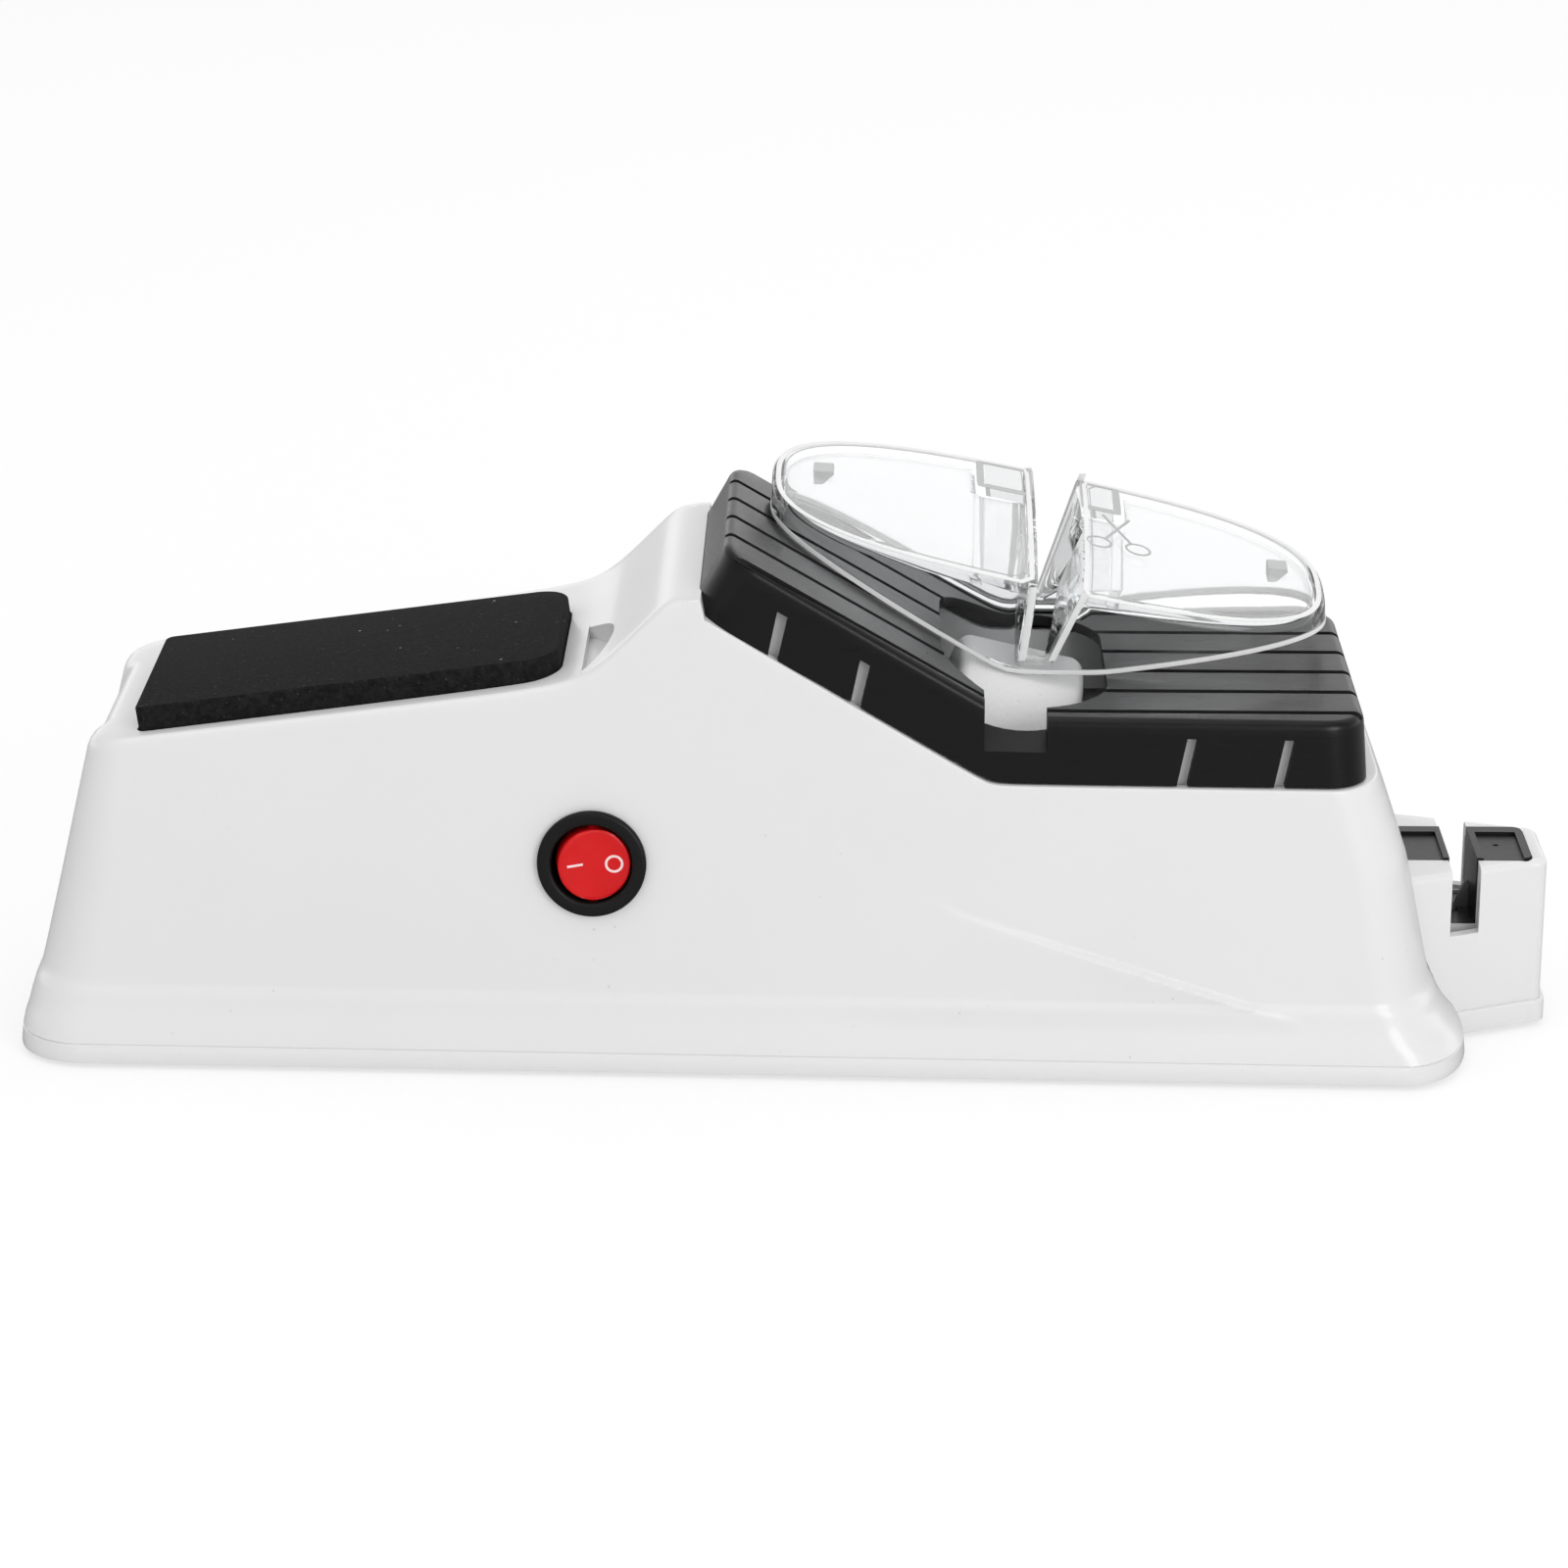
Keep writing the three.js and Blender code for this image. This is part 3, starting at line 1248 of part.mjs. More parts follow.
function pullThroughInsert() {
  const top = blockHeight + insertRise;
  const body = box(insertStart, insertEnd, insertFront, insertBack, insertFoot, top);
  const underside = box(insertStart + insertWall * 2, insertEnd - insertWall * 2, insertFront + insertWall * 2,
    insertBack - insertWall * 2, insertFoot - overrun, insertGateFoot - insertWall * 5);
  const reach = blockNearFront + overrun * 2;
  let insert = body.subtract(underside).subtract(gateCutter(insertGateWidth, insertGateFoot, -reach, reach));
  insert = insert.subtract(joined([-1, 1].map((side) => bladeSolid(side, clearance))));
  return insert.subtract(casingLoft(clearance * 2, true));
}

// Colours and finishes of each piece
const looks = {
  whitePlastic: { color: 0xe8e8e6, roughness: 0.3, metalness: 0 },
  blackPlastic: { color: 0x232323, roughness: 0.55, metalness: 0 },
  clearPlastic: { color: 0xe6eef0, roughness: 0.08, metalness: 0, transparent: true, opacity: 0.35 },
  ceramic: { color: 0xdcdad5, roughness: 0.9, metalness: 0 },
  redPlastic: { color: 0xc62026, roughness: 0.3, metalness: 0 },
  stone: { color: 0x363636, roughness: 0.95, metalness: 0 },
  steel: { color: 0xb8babd, roughness: 0.3, metalness: 1 },
  brass: { color: 0xc9a552, roughness: 0.35, metalness: 1 },
  rubber: { color: 0x1c1c1c, roughness: 0.9, metalness: 0 },
  board: { color: 0x2f6b3c, roughness: 0.6, metalness: 0 },
};

const sharpener = new THREE.Group();
sharpener.position.set(-(baseLeft + blockRight + blockLip) / 2, 0, footProtrusion);

function addPiece(name, solid, look) {
  const mesh = new THREE.Mesh(toGeometry(solid), new THREE.MeshStandardMaterial(looks[look]));
  mesh.name = name;
  sharpener.add(mesh);
}

function addCopies(name, solids, endings, look) {
  solids.forEach((solid, i) => addPiece(`${name}_${endings[i]}`, solid, look));
}

const cornerEndings = ['front_left', 'back_left', 'front_right', 'back_right'];
const sideEndings = ['front', 'back'];
const endEndings = ['left', 'right'];

addPiece('body_shell', bodyShell(), 'whitePlastic');
addPiece('base_plate', basePlate(), 'whitePlastic');
addCopies('rubber_foot', rubberFeet(), cornerEndings, 'rubber');
addCopies('base_screw', baseScrews(), cornerEndings, 'steel');
addPiece('ribbed_cap', ribbedCap(), 'blackPlastic');
addPiece('clear_cover', clearCover(), 'clearPlastic');
addPiece('grinding_wheel', grindingWheel(), 'ceramic');
addPiece('wheel_hub', wheelHub(), 'brass');
addPiece('wheel_washer', wheelWasher(), 'steel');
addPiece('wheel_nut', wheelNut(), 'steel');
addPiece('motor_shaft', motorShaft(), 'steel');
addPiece('motor_can', motorCan(), 'steel');
addPiece('motor_end_cap', motorEndCap(), 'blackPlastic');
addPiece('motor_bracket', motorBracket(), 'steel');
addCopies('motor_screw', motorScrews(), sideEndings, 'steel');
addCopies('bracket_screw', bracketScrews(), sideEndings, 'steel');
addPiece('wheel_guard', wheelGuard(), 'blackPlastic');
addPiece('switch_bezel', switchBezel(), 'blackPlastic');
addPiece('switch_rocker', switchRocker(), 'redPlastic');
addPiece('switch_spring', switchSpring(), 'steel');
addCopies('switch_terminal', switchTerminals(), endEndings, 'brass');
addPiece('power_jack', powerJack(), 'blackPlastic');
addPiece('jack_nut', jackNut(), 'steel');
addPiece('circuit_board', circuitBoard(), 'board');
addPiece('board_fuse', boardFuse(), 'ceramic');
addPiece('board_capacitor', boardCapacitor(), 'blackPlastic');
addCopies('board_screw', boardScrews(), endEndings, 'steel');
addCopies('jack_lead', jackLeads(), endEndings, 'redPlastic');
addCopies('switch_lead', switchLeads(), endEndings, 'blackPlastic');
addCopies('motor_lead', motorLeads(), sideEndings, 'redPlastic');
addPiece('sharpening_stone', sharpeningStone(), 'stone');
addPiece('stone_pad', stonePad(), 'rubber');
addPiece('pull_through_housing', pullThroughHousing(), 'whitePlastic');
addPiece('pull_through_insert', pullThroughInsert(), 'blackPlastic');
addCopies('housing_screw', housingScrews(), sideEndings, 'steel');
addCopies('insert_blade', insertBlades(), sideEndings, 'steel');

export default sharpener;
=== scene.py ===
"""Looks of the electric knife sharpener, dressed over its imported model."""
import json
import math

import bmesh
import bpy
import numpy as np
from mathutils import Matrix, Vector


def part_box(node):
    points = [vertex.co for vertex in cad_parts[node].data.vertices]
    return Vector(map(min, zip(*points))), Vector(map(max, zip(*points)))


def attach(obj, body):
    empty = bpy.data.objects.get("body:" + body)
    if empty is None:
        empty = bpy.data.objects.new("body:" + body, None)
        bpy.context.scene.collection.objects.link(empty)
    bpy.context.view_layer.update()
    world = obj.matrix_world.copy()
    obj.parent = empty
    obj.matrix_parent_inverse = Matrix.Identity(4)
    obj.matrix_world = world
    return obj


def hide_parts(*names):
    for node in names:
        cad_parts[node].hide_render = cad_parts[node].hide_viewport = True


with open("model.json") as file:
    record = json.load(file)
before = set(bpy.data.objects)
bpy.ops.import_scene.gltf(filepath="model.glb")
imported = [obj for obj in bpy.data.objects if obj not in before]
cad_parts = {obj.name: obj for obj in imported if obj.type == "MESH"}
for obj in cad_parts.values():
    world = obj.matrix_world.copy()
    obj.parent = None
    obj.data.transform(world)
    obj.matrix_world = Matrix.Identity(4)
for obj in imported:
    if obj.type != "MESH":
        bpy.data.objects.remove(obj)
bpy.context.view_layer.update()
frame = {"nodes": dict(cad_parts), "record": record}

# Sizes are in millimetres, in the frame that the photo was fitted in: X to the right, Y to the back, Z up.
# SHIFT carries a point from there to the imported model's frame.
SHIFT = np.array([-8.3675, 0.0, 1.0])

FLARE = 0.027  # how fast the long sides part along X
DRAFT = 0.05  # how fast they lean in with height
WAIST, WAIST_LEVEL = 34.1, 11.8  # half the width at x = 0, just over the flange
TAIL_LEVEL, TAIL_LEFT, TAIL_SLOPE = 56.6, -109, 0.1333
TAIL_ANGLE = math.atan(TAIL_SLOPE)
NECK_START, NECK_RUN, NECK_SLOPE = -25.1, 13.7, 1.11
CREST_END = -6.0  # where the casing's top drops to the rim under the cap
HUMP_SLOPE = 0.584  # fall of the hump's left plane
RIM_LEVEL, RIM_BEND = 51.6, 42.6  # the line where cap and casing meet
CAP_LEVEL, CAP_BEND = 63.1, 45.7  # the cap's top
CASING_WALL = 2.4
FACE_STEP = 1.3  # the step in the long faces and the sunk left end
STEP_X, STEP_LEVEL, STEP_FALL = 38, 28.9, 0.3145  # the line of that step
FLANGE_TOP = 15.5

COVER_X, COVER_Y = 53.25, 12.2
COVER_HALF_X, COVER_HALF_Y = 48.55, 21.2
COVER_POWER = 2.8
COVER_LEVEL, COVER_DRAFT = 79.6, 0.03
COVER_FALL, COVER_RISE = 0.21, 0.233  # of its roof, along X and along Y
COVER_CROWN = 0.6
COVER_WALL = 2.0
SLOT_X, SLOT_WIDTH = 48.7, 2.7
SLOT_FRONT, SLOT_BACK, SLOT_RUN = -9.0, 33.4, 42.4
SLOT_LEANS = ((0.144, 0.1), (0.47, 0.33))  # of its left and right side, at the front and at the back

WHEEL_MIDDLE, WHEEL_TILT = (44.2, 0.0, 43.2), math.radians(13)
WHEEL_RADIUS, WHEEL_HALF = 22.0, 11.0
WHEEL_GAP = 1.2

STONE_LENGTH, STONE_WIDTH = 72.4, 41.0
STONE_RIGHT, STONE_FRONT = -30.1, -25.8
SWITCH_X, SWITCH_Z = -24.7, 36.8
JACK_X, JACK_Z = -70, 24
BLOCK_HEIGHT = 29.9
GATE_X, GATE_WIDTH = 123.35, 5.2  # left side and width of the gap in the block for sharpening by hand


# Meshes
def new_piece(name, points, faces):
    """A mesh from points in millimetres and faces."""
    mesh = bpy.data.meshes.new(name)
    mesh.from_pydata(((np.asarray(points, float) + SHIFT) / 1000).tolist(), [], faces)
    piece = bpy.data.objects.new(name, mesh)
    bpy.context.collection.objects.link(piece)
    join_seams(piece)
    finish_shading(piece, 32)
    return piece


def join_seams(piece):
    """Joins the doubled points of seams and poles and turns all faces outwards."""
    work = bmesh.new()
    work.from_mesh(piece.data)
    bmesh.ops.remove_doubles(work, verts=work.verts, dist=2e-6)
    bmesh.ops.dissolve_degenerate(work, edges=work.edges, dist=1e-7)
    bmesh.ops.recalc_face_normals(work, faces=work.faces)
    work.to_mesh(piece.data)
    work.free()


def finish_shading(piece, angle):
    """Shades a piece smooth where its faces meet at less than angle degrees."""
    mesh = piece.data
    mesh.polygons.foreach_set("use_smooth", np.ones(len(mesh.polygons), bool))
    mesh.set_sharp_from_angle(angle=math.radians(angle))
    mesh.update()


def grid_faces(rows, columns):
    """Quads between neighbouring rows of points, each of which runs round."""
    r = np.arange(rows - 1)[:, None]
    c = np.arange(columns)[None, :]
    a = r * columns + c
    b = r * columns + (c + 1) % columns
    return np.stack([a, b, b + columns, a + columns], -1).reshape(-1, 4).tolist()


def ring_faces(rows, columns):
    """The same quads, and those that lead from the last row back to the first."""
    return [[v % (rows * columns) for v in quad] for quad in grid_faces(rows + 1, columns)]


def capped_faces(rows, columns):
    """The same quads, with one flat face over each end."""
    last = (rows - 1) * columns
    return grid_faces(rows, columns) + [list(range(columns))[::-1], list(range(last, last + columns))]


def apply_modifier(piece, kind, **settings):
    """Applies one modifier to a piece."""
    step = piece.modifiers.new(kind.lower(), kind)
    for key, value in settings.items():
        setattr(step, key, value)
    with bpy.context.temp_override(object=piece, active_object=piece, selected_objects=[piece]):
        bpy.ops.object.modifier_apply(modifier=step.name)


def cut(piece, *cutters, operation="DIFFERENCE"):
    """Takes bodies from a piece, joins them to it or keeps what they share, and removes them."""
    for cutter in cutters:
        apply_modifier(piece, "BOOLEAN", operation=operation, object=cutter, solver="MANIFOLD")
        bpy.data.objects.remove(cutter)


def eased(piece, width, limit=35):
    """Rounds the edges of a piece that are sharper than limit degrees."""
    apply_modifier(piece, "BEVEL", width=width / 1000, segments=2, limit_method="ANGLE",
                   angle_limit=math.radians(limit), use_clamp_overlap=True, harden_normals=True)


def smooth_max(a, b, k):
    """The larger of two values, with a bend of about k: half of their sum and of the root of difference
    squared plus k squared."""
    return (a + b + np.sqrt((a - b) ** 2 + k * k)) / 2


def smooth_min(a, b, k):
    """The smaller of two values, with a bend of about k: as above, with the root taken off."""
    return (a + b - np.sqrt((a - b) ** 2 + k * k)) / 2


def smooth_step(x, low, high):
    """0 at low and 1 at high, level at both: three times the share squared, less twice the share cubed."""
    t = np.clip((x - low) / (high - low), 0, 1)
    return t * t * (3 - 2 * t)


def basis(x, y, z, place):
    """The matrix of a small frame from its three axes and its place."""
    matrix = np.eye(4)
    matrix[:3, 0], matrix[:3, 1], matrix[:3, 2], matrix[:3, 3] = x, y, z, place
    return matrix


def tipped(turn, place):
    """A frame at a place, turned about Y by an angle in radians."""
    return basis([math.cos(turn), 0, -math.sin(turn)], [0, 1, 0], [math.sin(turn), 0, math.cos(turn)], place)


def lifted(x, y, z):
    """A frame at a place, not turned."""
    return basis([1, 0, 0], [0, 1, 0], [0, 0, 1], [x, y, z])


def moved_by(piece, matrix):
    """Carries a piece that was made in its own small frame to its place."""
    mesh = piece.data
    points = np.empty(len(mesh.vertices) * 3)
    mesh.vertices.foreach_get("co", points)
    points = points.reshape(-1, 3) * 1000 - SHIFT
    points = points @ matrix[:3, :3].T + matrix[:3, 3]
    mesh.vertices.foreach_set("co", ((points + SHIFT) / 1000).ravel())
    mesh.update()
    return piece


def arc(cx, cz, radius, start, end, steps):
    """Points of a circle's arc from start to end, in degrees, as pairs."""
    turn = np.radians(np.linspace(start, end, steps + 1))
    return [[cx + radius * math.cos(t), cz + radius * math.sin(t)] for t in turn]


def turned(name, profile, columns, matrix=np.eye(4)):
    """A body of revolution: the radius and height pairs of the profile carried round the local Z axis."""
    pairs = np.array(profile, float)
    turn = np.linspace(0, 2 * np.pi, columns, endpoint=False)
    points = np.stack([pairs[:, :1] * np.cos(turn), pairs[:, :1] * np.sin(turn),
                       np.repeat(pairs[:, 1:], columns, 1)], -1).reshape(-1, 3)
    faces = grid_faces(len(pairs), columns)
    if np.allclose(pairs[0], pairs[-1]):
        points = points[:-columns]
        faces = ring_faces(len(pairs) - 1, columns)
    return new_piece(name, points @ matrix[:3, :3].T + matrix[:3, 3], faces)


def loft(name, rings):
    """A closed body through rings of points that all have the same count."""
    return new_piece(name, np.concatenate([np.array(r, float) for r in rings]),
                     capped_faces(len(rings), len(rings[0])))


def prism(name, outline, low, high, axis="z"):
    """A flat outline of pairs carried from low to high along Z, or along Y for an outline in X and Z."""
    flat = np.array(outline, float)
    ends = [np.full(len(flat), h) for h in (low, high)]
    if axis == "z":
        return loft(name, [np.column_stack([flat, end]) for end in ends])
    return loft(name, [np.column_stack([flat[:, 0], end, flat[:, 1]]) for end in ends])


def block(name, x0, x1, y0, y1, z0, z1):
    """A box between two places along each axis."""
    return prism(name, [[x0, y0], [x1, y0], [x1, y1], [x0, y1]], z0, z1)


def eased_top(high, ease):
    """Steps of a quarter circle round a top edge: how far each is drawn in, and its height."""
    return [(ease * (1 - math.cos(t)), high - ease * (1 - math.sin(t))) for t in np.linspace(0, np.pi / 2, 6)]


def rounded_slab(name, length, width, left, right, low, high, ease=0.0):
    """A slab with rounded corners, carried from low to high, its top edge eased by an arc."""
    steps = [(0, low), (0, high)]
    if ease:
        steps = [(ease, low), (0.3 * ease, low + 0.3 * ease), (0, low + ease)] + eased_top(high, ease)
    rings = []
    for inset, z in steps:
        ring = []
        for k, (sx, sy, radius) in enumerate([(-1, -1, left), (1, -1, right), (1, 1, right), (-1, 1, left)]):
            turn = np.pi + (k + np.linspace(0, 1, 11)) * np.pi / 2
            r = max(radius - inset, 0.05)
            ring.append(np.column_stack([sx * (length / 2 - inset - r) + r * np.cos(turn),
                                         sy * (width / 2 - inset - r) + r * np.sin(turn), np.full(11, z)]))
        rings.append(np.concatenate(ring))
    return loft(name, rings)


# Skins
def rounded_columns(side, corner, end):
    """Columns round a rounded outline: place along X from 0 to 1, place along Y from -1 to 1, and angle."""
    quarter = np.linspace(0, np.pi / 2, corner + 1)[:-1]
    run = np.linspace(0, 1, side + 1)
    across = np.linspace(-1, 1, end + 1)
    sections = ((run[:-1], -1, -np.pi / 2), (1, -1, quarter - np.pi / 2),
                (1, across[:-1], 0), (1, 1, quarter),
                (run[:0:-1], 1, np.pi / 2), (0, 1, quarter + np.pi / 2),
                (0, across[:0:-1], np.pi), (0, -1, quarter + np.pi))
    return np.concatenate([np.column_stack(np.broadcast_arrays(*section)) for section in sections])


def wedge_point(columns, left, right, half, radius, stretch):
    """Place on the wedge outline. Its long sides part by FLARE along X, and the corners of its right end are
    stretched along Y."""
    share, place, angle = columns.T
    x0 = (left + radius) + share * (right - left - 2 * radius)
    tall = radius * np.where(share > 0.5, stretch, 1.0)
    reach = half + FLARE * x0
    return x0 + radius * np.cos(angle), place * (reach - tall) + tall * np.sin(angle)


def where_met(outline, columns, height, start, rounds=8):
    """The points where an outline that changes with height meets the surface height(x, y): from a start
    height, the outline's place gives a new height, a few times over."""
    z = np.full(len(columns), start)
    for _ in range(rounds):
        x, y = outline(columns, z)
        z = height(x, y)
    return x, y, z


def flat(height):
    """A level surface."""
    return lambda x, y: np.full_like(x, height)


def at_heights(heights):
    """Levels of a skin at plain heights."""
    return [(z, 0) for z in heights]


def climbing(foot, count):
    """Evenly spread levels of a skin from its foot to the arc at its top."""
    return [(foot, share) for share in np.linspace(0, 1, count)]


def skin(columns, outline, top, levels, fillet, top_rows=14, fillet_rows=5):
    """Points of an outer skin as rows round the outline. Each level is a foot, as a height or a surface, and
    the share of the way from it to the top. Above the last one an arc of radius fillet leads into the surface
    top(x, y), and straight rows lead from there to the spine at y = 0."""
    angle = columns[:, 2]
    radius = fillet(columns) if callable(fillet) else np.full(len(columns), float(fillet))

    def settle(inset, drop):
        def drawn_in(cols, z):
            x, y = outline(cols, z)
            return x - inset * np.cos(angle), y - inset * np.sin(angle)
        return where_met(drawn_in, columns, lambda x, y: top(x, y) - drop, 60.0)

    ledge = settle(0, radius)[2]
    rows = []
    for foot, share in levels:
        if callable(foot):
            foot = foot(*outline(columns, ledge))
        z = foot + (ledge - foot) * share
        rows.append(np.column_stack([*outline(columns, z), z]))
    for turn in np.arange(1, fillet_rows + 1) / fillet_rows * np.pi / 2:
        rows.append(np.column_stack(settle(radius * (1 - math.cos(turn)), radius * (1 - math.sin(turn)))))
    x1, y1, _ = settle(radius, 0)
    x2 = spine_place(x1)
    for k in range(1, top_rows + 1):
        t = k / top_rows
        x, y = x1 + (x2 - x1) * t, y1 * (1 - t)
        rows.append(np.column_stack([x, y, top(x, y)]))
    return rows


def spine_place(x):
    """Where the rows of a level part end on its spine, which stops 26 mm short of each end."""
    return np.clip(x, x.min() + 26, x.max() - 26)


def closed_skin(name, rows):
    """An outer skin closed below by straight rows to the spine."""
    foot = rows[0]
    middle = np.column_stack([spine_place(foot[:, 0]), np.zeros(len(foot)), foot[:, 2]])
    return new_piece(name, np.concatenate([middle] + rows), grid_faces(len(rows) + 1, len(foot)))


def shell(name, outer, inner):
    """A wall between an outer and an inner skin, joined along their lowest rows."""
    rows = inner[::-1] + outer
    return new_piece(name, np.concatenate(rows), grid_faces(len(rows), len(outer[0])))


# White casing
HALF_LEVELS = [0, 0.5, 3.0, 3.25, 3.5, 5.4, 7.4, 9, 10.5, 11.8, 12.4, 13.6, 15.5]
HALF_VALUES = [36.5, 36.58, 36.35, 36.18, 36.32, 35.95, 35.5, 35.15, 34.9, 34.72, 34.58, 34.06, 33.92]
LEFT_LEVELS = [0, 0.5, 3.0, 3.25, 3.5, 5.4, 7.4, 9.8, 11.8, 13, 14.5, 17, 92]
LEFT_VALUES = [-124.8, -124.86, -124.6, -124.3, -124.5, -124.1, -123.4, -122.75, -122.1, -121.6, -120.95,
               -120.25, -101.58]
RIGHT_LEVELS = [0, 0.5, 3.0, 3.25, 3.5, 5.4, 7.4, 9.8, 11.8, 13, 14.5, 17, 35.7, 51.6, 92]
RIGHT_VALUES = [125.9, 125.98, 125.7, 125.4, 125.6, 124.4, 122.7, 121.2, 120.4, 119.7, 119.15, 118.55, 114.5,
                108.6, 93.6]
FLANGE_ROWS = (0, 0.5, 1.7, 3, 3.12, 3.25, 3.38, 3.5, 4.4, 5.4, 6.4, 7.4, 8.2, 9, 9.8, 10.5, 11.2, 11.8)
ROOM_ROWS = (-6, 0.01, 1, 3, 5.4, 7.4, 9.8, 11.8, 12.4, 14.5, 17, 24, 30, 35.7, 51.6, 80)


def half_width(z, waist=WAIST):
    """Half the width of the object at x = 0: waist at WAIST_LEVEL, less DRAFT per millimetre above."""
    return waist - (z - WAIST_LEVEL) * DRAFT


def tail_top(x):
    """Height of the tail's top, which climbs to the right by TAIL_SLOPE."""
    return TAIL_LEVEL + (x - TAIL_LEFT) * TAIL_SLOPE


def rim_line(x):
    """Height of the line where cap and casing meet: level on the right, climbing left of RIM_BEND."""
    return RIM_LEVEL + HUMP_SLOPE * smooth_max(RIM_BEND - x, 0, 1.5)


def cap_line(x):
    """Height of the cap's top: level on the right, climbing left of CAP_BEND."""
    return CAP_LEVEL + HUMP_SLOPE * smooth_max(CAP_BEND - x, 0, 2.0)


CREST = tail_top(NECK_START) + NECK_RUN * NECK_SLOPE


def casing_top(x, y):
    """The casing's top: the larger of tail and neck, at most the crest, and the rim right of CREST_END."""
    neck = tail_top(NECK_START) + (x - NECK_START) * NECK_SLOPE
    rise = smooth_min(smooth_max(tail_top(x), neck, 4.6), CREST, 2.0)
    drop = smooth_step(x, CREST_END, CREST_END + 0.2)
    return np.where(x < CREST_END, rise, rise + (rim_line(x) - 0.3 - rise) * drop)


def casing_outline(offset):
    """The casing's plan outline at each height, moved out by offset, with the relief of its faces and the
    sunk panel of its left end."""
    def place(columns, z):
        angle = columns[:, 2]
        half = np.where(z < FLANGE_TOP, np.interp(z, HALF_LEVELS, HALF_VALUES), half_width(z))
        left = np.interp(z, LEFT_LEVELS, LEFT_VALUES)
        right = np.interp(z, RIGHT_LEVELS, RIGHT_VALUES)
        radius = np.where(columns[:, 0] < 0.5, np.interp(z, [0, 30, 56], [12, 10.4, 6.4]), 12 - (z / 93) * 6)
        x, y = wedge_point(columns, left - offset, right + offset, half + offset, radius + offset, 1.6)
        out = face_relief(x, z, angle)
        left_end = (angle > np.pi - 0.01) & (angle < np.pi + 0.01)
        sunk = FACE_STEP * left_end * smooth_step(-np.abs(y), -20.5, -15.5) * smooth_step(z, 18, 40)
        return x + out * np.cos(angle) + sunk, y + out * np.sin(angle)
    return place


def face_relief(x, z, angle):
    """How far the long faces stand out of the plain form. Under a line that falls to the right the face
    stands proud by ledge, which nears 0.5 mm as it runs down into the flange. The step at the line grows
    towards its right end and runs out before the corner."""
    face = smooth_step(np.abs(np.sin(angle)), 0.9, 0.99)
    line = STEP_LEVEL - (x - STEP_X) * np.where(x < STEP_X, 0.5, STEP_FALL)
    drop = np.clip((line - z) / np.maximum(line - 12.4, 0.5), 0, 1)
    before_corner = smooth_step(x, 99, 93)
    ledge = FACE_STEP * smooth_step(x, 26, 72) * before_corner
    band = smooth_step(line - z, -0.2, 0.8) * (ledge + (0.5 - ledge) * drop)
    return face * band * smooth_step(x, 8, 40) * before_corner * np.clip((z - 9) / 4, 0, 1)


def casing_fillet(columns):
    """Radius of the casing's top edge: small under the cap, wider on the tail, and widest at the left end."""
    share, _, angle = columns.T
    left = np.clip(-np.cos(angle), 0, 1) * (share < 0.5)
    return np.where(-115 + share * 226 < CREST_END - 2, 1.1, 0.35) + left * 1.0


def casing_room(offset):
    """The casing's own body, grown by offset, to cut its neighbours with."""
    return closed_skin("casing_room", skin(rounded_columns(30, 14, 60), casing_outline(offset), flat(90),
                                           at_heights(ROOM_ROWS), 0.5, top_rows=3))


STONE_MIDDLE = STONE_RIGHT - STONE_LENGTH * math.cos(TAIL_ANGLE) / 2
STONE_FRAME = tipped(-TAIL_ANGLE, [STONE_MIDDLE, STONE_FRONT + STONE_WIDTH / 2, tail_top(STONE_MIDDLE)])


def face_frame(x, z, side):
    """A frame that lies on the front or back face: X along the face, Z out of it."""
    normal = np.array([-FLARE, side, DRAFT])
    normal = normal / np.linalg.norm(normal)
    along = np.cross([0, 0, 1], normal)
    along = along / np.linalg.norm(along)
    return basis(along, np.cross(normal, along), normal, [x, side * (half_width(z) + FLARE * x), z])


SWITCH_FRAME = face_frame(SWITCH_X, SWITCH_Z, -1)
JACK_FRAME = face_frame(JACK_X, JACK_Z, 1)


def finger_scoop(extra):
    """The rounded hollow at the foot of the neck, beside the stone, where a finger lifts the stone out."""
    middle_x, middle_y, half_turn = 28.4, -9.4, 0.82
    radius, reach = 17.2 + extra, 40.2 - extra
    turn = np.linspace(-half_turn, half_turn, 25) * (1 + 0.05 * extra)
    bulge = [[middle_x + radius * math.cos(t), middle_y + radius * math.sin(t)] for t in turn]
    outline = [[reach, bulge[0][1]]] + bulge + [[reach, bulge[-1][1]]]
    return moved_by(prism("scoop", outline, -0.3 - extra, 9), STONE_FRAME)


def stone_slab(name, extra, left, right, low, high):
    """A slab over the stone's place, larger than the stone by extra."""
    slab = rounded_slab(name, STONE_LENGTH + extra, STONE_WIDTH + extra, left, right, low, high)
    return moved_by(slab, STONE_FRAME)


